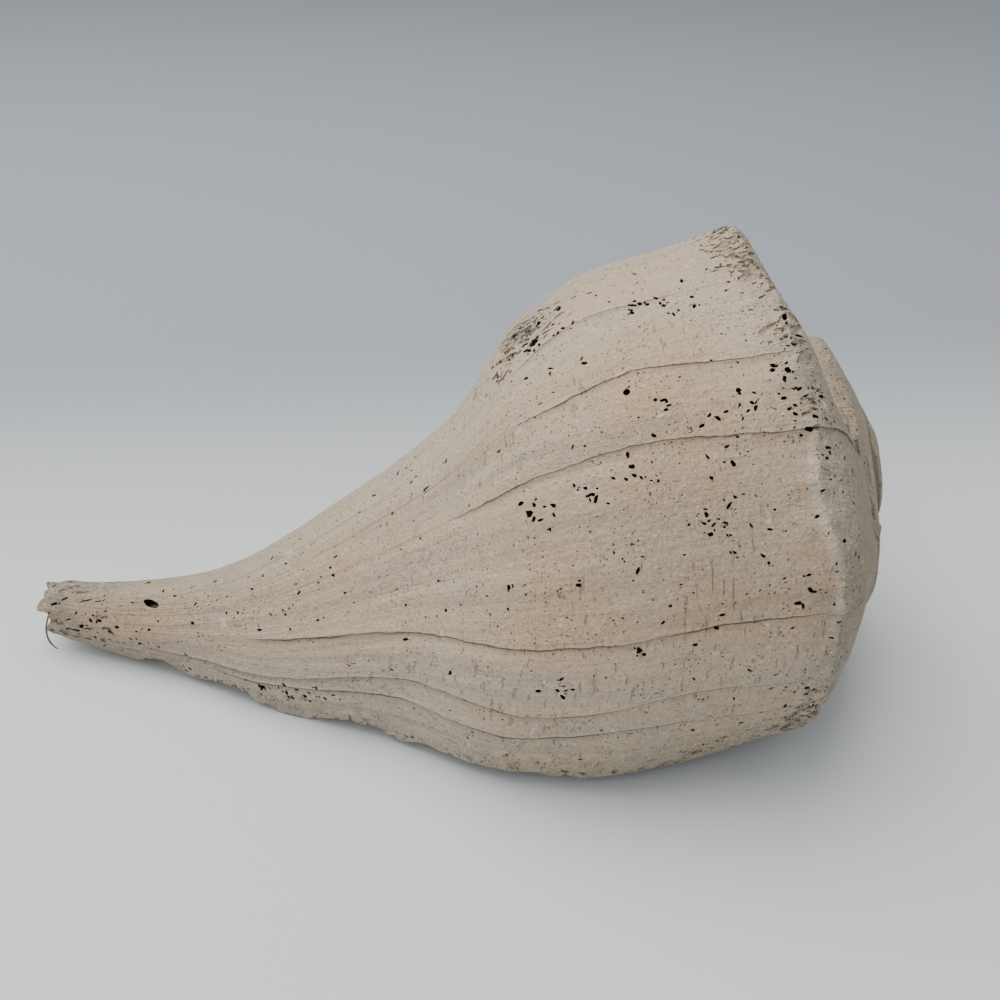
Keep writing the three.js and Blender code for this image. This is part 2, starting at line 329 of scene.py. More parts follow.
@dataclass(frozen=True)
class GrowthLaw:
    """How the shell's edge winds round its axis and grows, in millimetres and degrees."""

    whorl_ratio: float = 2.01
    spire_whorls: float = 2.4
    shoulder: float = 0.2
    wall: float = 4.2
    tip_wall: float = 3.0
    lip_wall: float = 0.5
    outline: tuple[tuple[float, float, float], ...] = (
        (0.0, 45.0, 22.1),
        (0.1, 66.5, 29.3),
        (0.2, 88.0, 41.4),
        (0.256, 88.4, 55.6),
        (0.36, 88.3, 81.9),
        (0.488, 78.8, 114.3),
        (0.616, 50.6, 146.7),
        (0.744, 31.0, 179.1),
        (0.856, 14.8, 207.5),
        (1.0, 8.3, 240.5),
    )
    sweep: tuple[tuple[float, float], ...] = (
        (0.0, 11.5),
        (0.2, 3.2),
        (0.4, -2.4),
        (0.6, -4.0),
        (0.8, -2.3),
        (1.0, -1.0),
    )
    canal_start: float = 0.55
    bend_depth: float = 158.0
    canal_bend: tuple[float, float] = (-21.8, -3.0)
    lip_reach: float = 80.0
    lip_draw_in: float = 0.163
    lip_drop: float = 12.9
    suture_rise: tuple[tuple[float, float], ...] = (
        (-2000.0, 0.0),
        (-200.0, 0.0),
        (-110.0, -3.0),
        (-88.0, -3.0),
        (-62.0, 3.5),
        (-50.0, 4.8),
        (-40.0, 7.5),
        (-30.0, 12.0),
        (-18.0, 10.0),
        (6.0, 4.0),
    )
    climb_draw_in: float = 0.5
    knobs: tuple[tuple[float, float], ...] = (
        (-24.0, -1.5),
        (-50.0, 3.5),
        (-85.0, 4.5),
        (-125.0, 4.0),
        (-166.0, 5.0),
        (-207.0, 5.0),
        (-249.0, 5.0),
        (-292.0, 5.0),
        (-430.0, 2.0),
        (-478.0, 4.5),
        (-526.0, 4.5),
    )
    knob_half_width: float = 10.0
    knob_half_depth: float = 0.05
    knob_rise: float = 0.35
    spire_lift: float = 5.0
    spire_lift_angles: tuple[float, float] = (400.0, 470.0)
    slit_angle: float = 52.0
    ragged_lip: tuple[tuple[float, float], ...] = (
        (0.0, 0.0),
        (0.2, -4.0),
        (0.25, -5.0),
        (0.28, -2.0),
        (0.32, 0.0),
        (0.36, -2.0),
        (0.44, -3.0),
        (0.51, -4.5),
        (0.56, -3.5),
        (0.595, -1.5),
        (0.642, -4.5),
        (0.662, -2.5),
        (0.70, 2.0),
        (0.745, -1.5),
        (0.765, -6.0),
        (0.80, -1.5),
        (0.83, 2.0),
        (0.86, -7.0),
        (0.88, -4.0),
        (0.90, 9.0),
        (0.92, 10.0),
        (0.943, 8.0),
        (0.97, 0.0),
        (1.0, 0.0),
    )
    ragged_reach: float = 14.0

    @property
    def tip_depth(self) -> float:
        """Depth of the canal's tip."""
        return self.outline[-1][2]

    def climb(self, angle: np.ndarray, at: np.ndarray) -> np.ndarray:
        """How far the ramp above the shoulder climbs over the whorl before it."""
        rise = SmoothCurve([row[0] for row in self.suture_rise], [row[1] for row in self.suture_rise])
        return rise(angle) * np.clip(1.0 - at / self.shoulder, 0.0, 1.0)

    def curves(self) -> tuple[SmoothCurve, SmoothCurve, SmoothCurve, SmoothCurve]:
        """Radius, depth, sweep and ragged lip as curves over the station."""
        stations = [row[0] for row in self.outline]
        return (
            SmoothCurve(stations, [row[1] for row in self.outline]),
            SmoothCurve(stations, [row[2] for row in self.outline]),
            SmoothCurve([row[0] for row in self.sweep], [row[1] for row in self.sweep]),
            SmoothCurve([row[0] for row in self.ragged_lip], [row[1] for row in self.ragged_lip]),
        )

    def lip_angle(self, at: np.ndarray) -> np.ndarray:
        """Growth angle at which the broken lip ends."""
        chips = np.stack([np.asarray(at) * 60.0, np.zeros(np.shape(at)), np.ones(np.shape(at))], -1)
        return self.curves()[3](at) + 0.9 * lattice_noise(chips, 11) + 0.5 * lattice_noise(chips * 3.1, 12)

    def ragged(self, angle: np.ndarray, at: np.ndarray) -> np.ndarray:
        """Growth angle moved so that a sweep that ends at 0 ends at the broken lip."""
        return angle + self.lip_angle(at) * smooth(angle, -self.ragged_reach, 0.0)

    def edge(self, angle: np.ndarray, at: np.ndarray, pull: np.ndarray | float = 0.0) -> Edge:
        """Points of the growing edge.

        Args:
            angle: growth angles.
            at: stations.
            pull: how far the points are pulled into the wall, for a full-grown whorl.

        Returns:
            The points, about the shell's own axis.
        """
        angle, at = np.broadcast_arrays(np.asarray(angle, float), np.asarray(at, float))
        radius_at, depth_at, sweep_at, _ = self.curves()
        near, far = np.maximum(at - 0.004, 0.0), np.minimum(at + 0.004, 1.0)
        out, down = radius_at(far) - radius_at(near), depth_at(far) - depth_at(near)
        length = np.hypot(out, down)
        out, down = out / length, down / length
        knob = sum(height * bump(angle, where, self.knob_half_width) for where, height in self.knobs)
        knob = knob * bump(at, self.shoulder, self.knob_half_depth)
        climb = self.climb(angle, at)
        radius = radius_at(at) - pull * down + knob - self.climb_draw_in * np.maximum(climb, 0.0)
        depth = depth_at(at) + pull * out - self.knob_rise * knob - climb
        growth = 1.0 - smooth(at, self.canal_start, 1.0)
        scale = self.whorl_ratio ** (angle / 360.0 * growth)
        near_lip = np.clip(1.0 + angle / self.lip_reach, 0.0, 1.0) ** 2 * growth
        lift = self.spire_lift * smooth(-angle, *self.spire_lift_angles) * (1.0 - smooth(at, 0.3, 0.6))
        return Edge(
            np.maximum(radius * scale * (1.0 - self.lip_draw_in * near_lip), 0.5),
            (depth - lift) * scale + self.lip_drop * near_lip,
            np.radians(angle + sweep_at(at)),
        )

    def wall_at(self, angle: np.ndarray, at: np.ndarray) -> np.ndarray:
        """Thickness of the wall, thinner at the canal's tip and at the lip."""
        along = 1.0 + (self.tip_wall / self.wall - 1.0) * smooth(at, self.canal_start, 1.0)
        lip = self.lip_wall + (1.0 - self.lip_wall) * smooth(-np.asarray(angle, float), -2.0, 26.0)
        return self.wall * along * lip

    def place(self, edge: Edge) -> np.ndarray:
        """Positions in the shell's own frame."""
        t = (np.asarray(edge.depth) - self.bend_depth) / (self.tip_depth - self.bend_depth)
        bend = np.clip(t, 0.0, 1.0) ** 2
        away = math.radians(self.slit_angle / 2.0 + 180.0)
        x = self.canal_bend[0] * bend + edge.radius * np.cos(edge.azimuth) + edge.shift * math.cos(away)
        y = self.canal_bend[1] * bend + edge.radius * np.sin(edge.azimuth) + edge.shift * math.sin(away)
        return np.stack([x, y, -np.asarray(edge.depth) + 0.0 * x], -1)

    def surface(self, angle: np.ndarray, at: np.ndarray, relief: Relief) -> Edge:
        """Outer surface with its relief."""
        base = self.place(self.edge(angle, at))
        return self.edge(angle, at, -relief.height(angle, at, base))


@dataclass(frozen=True)
class RestingPose:
    """Places the shell as it lies: spire towards +X, lip turned down."""

    axis_pitch: float = 15.5
    lip_turn: float = 29.0
    offset: tuple[float, float, float] = (119.049, 8.434, 61.041)

    def basis(self) -> np.ndarray:
        """Rotation from the shell's own frame to the CAD frame."""
        pitch, turn = math.radians(self.axis_pitch), math.radians(self.lip_turn)
        axis = np.array([math.cos(pitch), 0.0, math.sin(pitch)])
        side = np.array([0.0, -1.0, 0.0])
        lip = side * math.cos(turn) + np.cross(axis, side) * math.sin(turn)
        return np.stack([lip, np.cross(axis, lip), axis], 1)

    def to_cad(self, points: np.ndarray) -> np.ndarray:
        """Own frame in millimetres to CAD frame in metres."""
        return (points @ self.basis().T + np.array(self.offset)) * MILLIMETRE


@dataclass(frozen=True)
class Hollow:
    """Sizes of the space inside the shell and of the pillar that it winds round."""

    turns: float = 1.3
    deep_end: float = 0.66
    overlap: float = 14.0
    pillar_thinning: float = 0.45
    pillar_turn: float = 60.0
    canal_thinning: float = 0.6
    pillar_shift: float = 3.2
    pillar_radii: tuple[float, float] = (5.0, 2.8)
    pillar_end: float = 239.0
    core_start: float = 24.0
    core_radii: tuple[float, float] = (5.0, 6.0)
    slit_start: float = 0.70
    inner_step: float = 7.0
    apex_radius: float = 5.0
    apex_top: float = 2.0


EdgePath = Callable[[np.ndarray, np.ndarray], Edge]


class WhelkShell:
    """The whole shell: whorls, spire, chamber, canal and all that time has done to them."""

    most_wedge: float = 290.0
    oldest_of_last: float = -456.0
    newest_of_middle: float = -438.0
    newest_of_top: float = -712.0

    def __init__(self, law: GrowthLaw, relief: Relief, hollow: Hollow, pose: RestingPose) -> None:
        """Keeps the sizes that the shell is built from.

        Args:
            law: growth of the edge.
            relief: ledges, lumps and growth lines.
            hollow: inner spaces.
            pose: how the shell lies.
        """
        self.law = law
        self.relief = relief
        self.hollow = hollow
        self.pose = pose

    def body_stations(self) -> np.ndarray:
        """Rows of the last whorl, closest together over the shoulder."""
        return np.concatenate([
            np.linspace(0.0, 0.15, 14)[:-1],
            np.linspace(0.15, 0.26, 25)[:-1],
            np.linspace(0.26, 0.75, 56)[:-1],
            np.linspace(0.75, 1.0, 34),
        ])

    def wedge(
        self, name: str, angles: np.ndarray, stations: np.ndarray, point_at: EdgePath
    ) -> bpy.types.Object:
        """Closed solid between the shell's axis and its edge, swept over some angles.

        Args:
            name: name of the new object.
            angles: growth angles of the sweep, under a full turn in all.
            stations: rows of the edge.
            point_at: function of angle and station that gives the edge.

        Returns:
            The solid, in the shell's own frame.
        """
        columns, rows = len(angles) - 1, len(stations) - 1
        deselect_all()
        bpy.ops.mesh.primitive_grid_add(x_subdivisions=columns, y_subdivisions=rows, size=2)
        wedge = bpy.context.object
        wedge.name = name
        bpy.ops.object.mode_set(mode="EDIT")
        bpy.ops.mesh.select_all(action="SELECT")
        bpy.ops.mesh.extrude_region_move(TRANSFORM_OT_translate={"value": (0, 0, -1)})
        bpy.ops.object.mode_set(mode="OBJECT")
        flat = read_points(wedge)
        i = np.rint((flat[:, 0] + 1.0) / 2.0 * columns).astype(int)
        j = np.rint((flat[:, 1] + 1.0) / 2.0 * rows).astype(int)
        skin = point_at(angles[i], stations[j])
        inner = point_at(np.full(len(j), angles[0]), stations[j])
        axis = self.law.place(Edge(0.0 * inner.radius, inner.depth, inner.azimuth))
        write_points(wedge, np.where(flat[:, 2:] > -0.5, self.law.place(skin), axis))
        close_up(wedge)
        return wedge

    def whorls(
        self, name: str, angles: np.ndarray, stations: np.ndarray, point_at: EdgePath
    ) -> bpy.types.Object:
        """Whorl solid over any range of angles, joined from wedges that share one step.

        Args:
            name: name of the new object.
            angles: growth angles of the sweep.
            stations: rows of the edge.
            point_at: function of angle and station that gives the edge.

        Returns:
            The solid, in the shell's own frame.
        """
        pieces = []
        first = 0
        while first < len(angles) - 1:
            last = first + 1
            while last + 1 < len(angles) and angles[last + 1] - angles[first] < self.most_wedge:
                last += 1
            pieces.append(self.wedge(name, angles[first:last + 1], stations, point_at))
            if last == len(angles) - 1:
                break
            first = last - 1
        whole = pieces[0]
        for piece in pieces[1:]:
            boolean(whole, piece, Join.ADD)
        return whole

    def tube(self, name: str, rings: list[np.ndarray]) -> bpy.types.Object:
        """Closed solid through a stack of rings.

        Args:
            name: name of the new object.
            rings: positions of each ring's points, the same number in each.

        Returns:
            The solid, in the shell's own frame.
        """
        sides = len(rings[0])
        deselect_all()
        bpy.ops.mesh.primitive_circle_add(vertices=sides, radius=1, fill_type="NGON")
        tube = bpy.context.object
        tube.name = name
        bpy.ops.object.mode_set(mode="EDIT")
        bpy.ops.mesh.select_all(action="SELECT")
        for _ in rings[1:]:
            bpy.ops.mesh.extrude_region_move(TRANSFORM_OT_translate={"value": (0, 0, 1)})
        bpy.ops.object.mode_set(mode="OBJECT")
        flat = read_points(tube)
        ring = np.rint(flat[:, 2]).astype(int)
        turn = np.arctan2(flat[:, 1], flat[:, 0]) / (2.0 * math.pi) * sides
        write_points(tube, np.array(rings)[ring, np.rint(turn).astype(int) % sides])
        close_up(tube)
        return tube

    def axis_bar(
        self, name: str, depths: tuple[float, float], radii: tuple[float, float], lean: float
    ) -> bpy.types.Object:
        """Tapered round bar down the bent axis.

        Args:
            name: name of the new object.
            depths: where it starts and ends.
            radii: its radius at both ends.
            lean: how far its end leans away from the slit.

        Returns:
            The bar, in the shell's own frame.
        """
        sides = 24
        azimuth = np.linspace(0.0, 2.0 * math.pi, sides + 1)[:-1]
        rings = []
        for along in np.linspace(0.0, 1.0, 12):
            radius = radii[0] + (radii[1] - radii[0]) * along
            depth = depths[0] + (depths[1] - depths[0]) * along
            rings.append(self.law.place(Edge(
                np.full(sides, radius), np.full(sides, depth), azimuth, lean * along,
            )))
        return self.tube(name, rings)

    def slit_blade(self) -> bpy.types.Object:
        """Blade that opens the canal along the broken edge of the lip."""
        law = self.law
        stations = np.linspace(self.hollow.slit_start, 1.0, 60)
        rings = []
        for step, at in enumerate([*stations, 1.0]):
            depth = float(law.edge(0.0, at).depth) + (6.0 if step == len(stations) else 0.0)
            opened = math.sqrt(min(1.0, step / (len(stations) - 1)))
            from_angle = math.degrees(float(law.edge(0.0, at).azimuth)) + float(law.lip_angle(at)) - 0.8
            to_angle = from_angle + 2.0 + (law.slit_angle - from_angle - 2.0) * opened
            radius = np.array([1.5, 60.0, 60.0, 1.5])
            azimuth = np.radians([from_angle, from_angle, to_angle, to_angle])
            rings.append(law.place(Edge(radius, np.full(4, depth), azimuth)))
        return self.tube("slit", rings)

    def outer_edge(self, angle: np.ndarray, at: np.ndarray) -> Edge:
        """Outer face with its relief, ending at the broken lip and the broken tip."""
        edge = self.law.surface(self.law.ragged(angle, at), at, self.relief)
        around = np.stack([np.cos(edge.azimuth), np.sin(edge.azimuth), 0.0 * edge.azimuth], -1)
        chips = 1.8 * lattice_noise(around * 2.6, 21) + 1.2 * lattice_noise(around * 6.5, 22)
        return Edge(edge.radius, edge.depth + chips * smooth(at, 0.955, 1.0), edge.azimuth)

    def inner_edge(self, angle: np.ndarray, at: np.ndarray) -> Edge:
        """Inner face of the wall; it runs past the tip, so that the canal is open there."""
        edge = self.law.edge(angle, at, self.law.wall_at(angle, at))
        return Edge(edge.radius, edge.depth + 8.0 * smooth(at, 0.93, 1.0), edge.azimuth)

    def pillar_edge(self, angle: np.ndarray, at: np.ndarray) -> Edge:
        """Face that the chamber winds round, thinned to the pillar towards the canal."""
        hollow = self.hollow
        edge = self.law.edge(angle, at)
        inside = smooth(-FULL_TURN - angle, 0.0, hollow.pillar_turn) * smooth(at, 0.5, 0.75)
        thin = 1.0 - hollow.pillar_thinning * inside
        thin = thin * (1.0 - hollow.canal_thinning * smooth(at, 0.76, 0.92))
        shift = hollow.pillar_shift * smooth(at, 0.7, 0.92)
        return Edge(edge.radius * thin, edge.depth, edge.azimuth, shift)

    def chamber(self, start: float, end: float, stations: np.ndarray) -> bpy.types.Object:
        """Space inside one stretch of whorl, clear of the whorl that it winds round."""
        angles = np.linspace(start, end, int((end - start) / self.hollow.inner_step) + 2)
        space = self.whorls("space", angles, stations, self.inner_edge)
        inner = self.whorls("inner_whorl", angles - FULL_TURN, stations, self.pillar_edge)
        boolean(space, inner, Join.CUT)
        return space

    def build(self) -> bpy.types.Object:
        """Builds the shell, still in its own frame.

        Returns:
            One closed solid.
        """
        hollow = self.hollow
        angles = np.concatenate([
            np.arange(self.oldest_of_last, -222.0, 3.0),
            np.arange(-222.0, -141.0, 1.5),
            np.arange(-141.0, 0.01, 0.75),
        ])
        shell = self.whorls("shell_body", angles, self.body_stations(), self.outer_edge)
        log.info("last whorl: %d faces", len(shell.data.polygons))
        shoulder = np.concatenate([np.linspace(0.0, 0.15, 9)[:-1], np.linspace(0.15, 0.3, 13)])
        steps = np.arange(-2.0 * FULL_TURN, self.newest_of_middle, 4.0)
        middle = self.whorls("spire", steps, shoulder, self.outer_edge)
        boolean(shell, middle, Join.ADD)
        oldest = -FULL_TURN * (1.0 + self.law.spire_whorls)
        steps = np.linspace(oldest, self.newest_of_top, 64)
        top = self.whorls("spire", steps, shoulder[::2], self.outer_edge)
        boolean(shell, top, Join.ADD)
        boolean(shell, self.apex(), Join.ADD)
        core = self.axis_bar("core", (hollow.core_start, self.law.tip_depth - 1.0), hollow.core_radii, 0.0)
        boolean(shell, core, Join.ADD)
        rows = np.concatenate([np.linspace(0.0, 0.3, 12)[:-1], np.linspace(0.3, 1.0, 30)])
        space = self.chamber(-FULL_TURN, hollow.overlap, rows)
        boolean(space, self.slit_blade(), Join.ADD)
        deep = self.chamber(-FULL_TURN * hollow.turns, 2.0 - FULL_TURN, rows[rows < hollow.deep_end])
        boolean(space, deep, Join.ADD)
        pillar = self.axis_bar(
            "pillar", (hollow.core_start, hollow.pillar_end), hollow.pillar_radii, hollow.pillar_shift / 2.0
        )
        boolean(space, pillar, Join.CUT)
        boolean(shell, space, Join.CUT)
        log.info("hollow shell: %d faces", len(shell.data.polygons))
        return shell

    def apex(self) -> bpy.types.Object:
        """Worn button at the very start of the spire."""
        deselect_all()
        radius = self.hollow.apex_radius
        middle = (0.0, 0.0, -radius - self.hollow.apex_top)
        bpy.ops.mesh.primitive_uv_sphere_add(segments=24, ring_count=14, radius=radius, location=middle)
        apex = bpy.context.object
        bpy.ops.object.transform_apply(location=True)
        points = read_points(apex)
        write_points(apex, points + 0.25 * lattice_noise(points / 1.6, 31)[:, None])
        close_up(apex)
        return apex


class ShellCoordinates:
    """Finds the growth angle and station of any place on the shell."""

    newest_old: float = -458.0
    reach: float = 0.01

    def __init__(self, law: GrowthLaw) -> None:
        """Samples the plain surface of every whorl.

        Args:
            law: growth of the edge.
        """
        self.law = law
        fine, coarse = np.arange(self.newest_old, 4.0, 2.0), np.arange(-1225.0, self.newest_old, 5.0)
        last, rows = np.meshgrid(fine, np.linspace(0.0, 1.0, 71), indexing="ij")
        old, few = np.meshgrid(coarse, np.linspace(0.0, 0.3, 11), indexing="ij")
        self.angle = np.concatenate([last.ravel(), old.ravel()])
        self.at = np.concatenate([rows.ravel(), few.ravel()])
        self.points = law.place(law.edge(self.angle, self.at))
        low, high = np.maximum(self.at - self.reach, 0.0), np.minimum(self.at + self.reach, 1.0)
        ahead, behind = law.place(law.edge(self.angle, high)), law.place(law.edge(self.angle, low))
        self.along = (ahead - behind) / (high - low)[:, None]
        self.tree = KDTree(len(self.points))
        for index, point in enumerate(self.points):
            self.tree.insert(point, index)
        self.tree.balance()

    def locate(self, points: np.ndarray) -> tuple[np.ndarray, np.ndarray]:
        """Growth angle and station nearest to each point.

        Args:
            points: places in the shell's own frame.

        Returns:
            The growth angles and the stations.
        """
        law = self.law
        near = np.array([self.tree.find(point)[1] for point in points])
        step = points - self.points[near]
        along = self.along[near]
        at = self.at[near] + (step * along).sum(1) / (along * along).sum(1)
        at = np.clip(at, 0.0, 1.0)
        t = np.clip((-points[:, 2] - law.bend_depth) / (law.tip_depth - law.bend_depth), 0.0, 1.0) ** 2
        x, y = points[:, 0] - law.canal_bend[0] * t, points[:, 1] - law.canal_bend[1] * t
        angle = np.degrees(np.arctan2(y, x)) - law.curves()[2](at)
        angle += FULL_TURN * np.rint((self.angle[near] - angle) / FULL_TURN)
        return np.where((at > 0.6) & (angle < 2.0 - FULL_TURN), angle + FULL_TURN, angle), at


@dataclass(frozen=True)
class Cluster:
    """Group of small hollows round one place on the shell."""

    angle: float
    at: float
    count: int
    spread_angle: float = 3.0
    spread_at: float = 0.018
    size: tuple[float, float] = (0.7, 1.5)
    turn: float = 90.0


@dataclass(frozen=True)
class Scoop:
    """One hollow: its place, length, width and depth, its turn from the edge's path, its roughness."""

    angle: float
    at: float
    length: float
    width: float
    depth: float
    turn: float
    rough: float = 0.30


class Scooping:
    """Cuts many small hollows into the shell with rough pebbles.

    A place further than most_gap millimetres from the surface is covered by another whorl.
    A hollow wider than fine_width is cut with the rounder of two pebbles.
    """

    name: str = "scoops"
    most_gap: float = 2.6
    fine_width: float = 2.0
    upper_share: float = 0.62
    sunk_share: float = 0.34
    reach_share: float = 0.75

    def __init__(self, shell: WhelkShell, body: bpy.types.Object, seed: int) -> None:
        """Keeps the shell and a search tree of its surface before any hollow.

        Args:
            shell: the shell's sizes.
            body: solid that is cut.
            seed: number that picks the random places.
        """
        self.shell = shell
        self.body = body
        self.before = BVHTree.FromObject(body, bpy.context.evaluated_depsgraph_get())
        self.rng = np.random.default_rng(seed)

    def plan(self) -> list[Scoop]:
        """Every hollow that is to be cut."""
        return []

    def frame_at(self, scoop: Scoop) -> tuple[np.ndarray, np.ndarray] | None:
        """Place and axes of a hollow on the surface as it is.

        Args:
            scoop: the hollow to place.

        Returns:
            The centre and its three axes as columns, or nothing where another whorl covers it.
        """
        law = self.shell.law
        point = law.place(law.edge(scoop.angle, scoop.at))
        ahead = law.place(law.edge(scoop.angle + 0.5, scoop.at)) - point
        spot, normal, _, gap = self.before.find_nearest(Vector(point))
        if spot is None or gap > self.most_gap:
            return None
        normal = np.array(normal)
        first = ahead - normal * (ahead @ normal)
        length = np.linalg.norm(first)
        if length < 0.3 * np.linalg.norm(ahead):
            return None
        first /= length
        second = np.cross(normal, first)
        turn = math.radians(scoop.turn)
        along = first * math.cos(turn) + second * math.sin(turn)
        return np.array(spot), np.stack([along, np.cross(normal, along), normal], 1)

    def pebble(
        self, ball: bpy.types.Object, scoop: Scoop, centre: np.ndarray, axes: np.ndarray
    ) -> bpy.types.Object:
        """Rough pebble that cuts one hollow.

        Args:
            ball: small round ball that is copied.
            scoop: size of the hollow.
            centre: place on the surface.
            axes: along, across and out of the surface.

        Returns:
            The pebble.
        """
        copy = ball.copy()
        copy.data = ball.data.copy()
        bpy.context.collection.objects.link(copy)
        points = read_points(ball)
        rough = 1.0 + scoop.rough * lattice_noise(points * 1.9 + centre, 51)[:, None]
        half = np.array([scoop.length / 2.0, scoop.width / 2.0, scoop.depth * self.upper_share])
        local = points * half * rough - np.array([0.0, 0.0, scoop.depth * self.sunk_share])
        write_points(copy, centre + local @ axes.T)
        return copy

    def cut(self) -> None:
        """Cuts every hollow, in rounds whose hollows don't touch each other."""
        deselect_all()
        bpy.ops.mesh.primitive_ico_sphere_add(subdivisions=2, radius=1)
        fine = bpy.context.object
        deselect_all()
        bpy.ops.mesh.primitive_ico_sphere_add(subdivisions=1, radius=1)
        plain = bpy.context.object
        rounds: list[tuple[list[bpy.types.Object], list[tuple[np.ndarray, float]]]] = []
        count = 0
        for scoop in self.plan():
            spot = self.frame_at(scoop)
            if spot is None:
                continue
            centre, axes = spot
            reach = self.reach_share * max(scoop.length, scoop.width, scoop.depth)
            tool = self.pebble(fine if scoop.width > self.fine_width else plain, scoop, centre, axes)
            count += 1
            for tools, taken in rounds:
                if all(np.linalg.norm(centre - other) > reach + far for other, far in taken):
                    break
            else:
                tools, taken = [], []
                rounds.append((tools, taken))
            tools.append(tool)
            taken.append((centre, reach))
        for tools, _ in rounds:
            deselect_all()
            for tool in tools:
                tool.select_set(True)
            bpy.context.view_layer.objects.active = tools[0]
            if len(tools) > 1:
                bpy.ops.object.join()
            boolean(self.body, tools[0], Join.CUT)
        for ball in (fine, plain):
            bpy.data.objects.remove(ball, do_unlink=True)
        log.info("%s: %d in %d rounds", self.name, count, len(rounds))

    def depths(self) -> np.ndarray:
        """How far each vertex lies below the surface that the hollows were cut into."""
        return np.array([self.before.find_nearest(Vector(point))[3] for point in read_points(self.body)])


class RoughPatches(Scooping):
    """Crumbling patches: crests, lip and tip that are all shallow, overlapping scoops."""

    name: str = "rough scoops"
    most_gap: float = 3.5
    patches: tuple[Cluster, ...] = (
        Cluster(-115.0, 0.213, 120, 12.0, 0.024, (0.9, 2.0)),
        Cluster(-132.0, 0.205, 20, 8.0, 0.030, (1.0, 2.4)),
        Cluster(-109.0, 0.485, 90, 10.0, 0.040, (0.9, 2.0)),
        Cluster(-103.0, 0.195, 22, 9.0, 0.010, (0.9, 2.0)),
        Cluster(-86.0, 0.203, 36, 5.0, 0.014, (0.9, 2.4)),
        Cluster(-74.0, 0.200, 12, 6.0, 0.010, (0.9, 1.6)),
        Cluster(-11.5, 0.215, 46, 5.0, 0.022, (0.9, 2.2)),
        Cluster(-6.0, 0.290, 20, 3.0, 0.050, (0.9, 2.0)),
        Cluster(-80.0, 0.110, 10, 22.0, 0.045, (1.0, 1.6)),
        Cluster(-166.0, 0.203, 20, 7.0, 0.014, (1.0, 2.6)),
        Cluster(-207.0, 0.203, 14, 7.0, 0.014, (1.0, 2.6)),
        Cluster(-249.0, 0.203, 12, 7.0, 0.014, (1.0, 2.6)),
    )
    tip_scoops: int = 44
    lip_chips: int = 50
    crumbly: float = 0.42

    def plan(self) -> list[Scoop]:
        """Shallow scoops of every patch, of the tip and of the broken lip."""
        rng = self.rng
        scoops = []
        for patch in self.patches:
            for _ in range(patch.count):
                width = rng.uniform(*patch.size)
                length = width * rng.uniform(1.1, 2.6)
                angle = patch.angle + patch.spread_angle * rng.normal() * 0.6
                at = patch.at + patch.spread_at * rng.normal() * 0.6
                depth, turn = rng.uniform(0.5, 1.2), rng.normal(90.0, 25.0)
                scoops.append(Scoop(angle, at, length, width, depth, turn, self.crumbly))
        for _ in range(self.tip_scoops):
            width = rng.uniform(0.9, 2.4)
            angle, at = rng.uniform(-170.0, 0.0), 1.0 - 0.075 * rng.random() ** 1.6
            length, depth = width * rng.uniform(1.2, 2.6), rng.uniform(0.5, 1.1)
            scoops.append(Scoop(angle, at, length, width, depth, 90.0, self.crumbly))
        for _ in range(self.lip_chips):
            width = rng.uniform(1.0, 2.6)
            at = rng.uniform(0.3, 0.95)
            angle = float(self.shell.law.lip_angle(at)) - rng.uniform(0.0, 2.5)
            depth, turn = rng.uniform(0.4, 0.9), rng.uniform(0.0, 180.0)
            scoops.append(Scoop(angle, at, width * 1.5, width, depth, turn, self.crumbly))
        return scoops


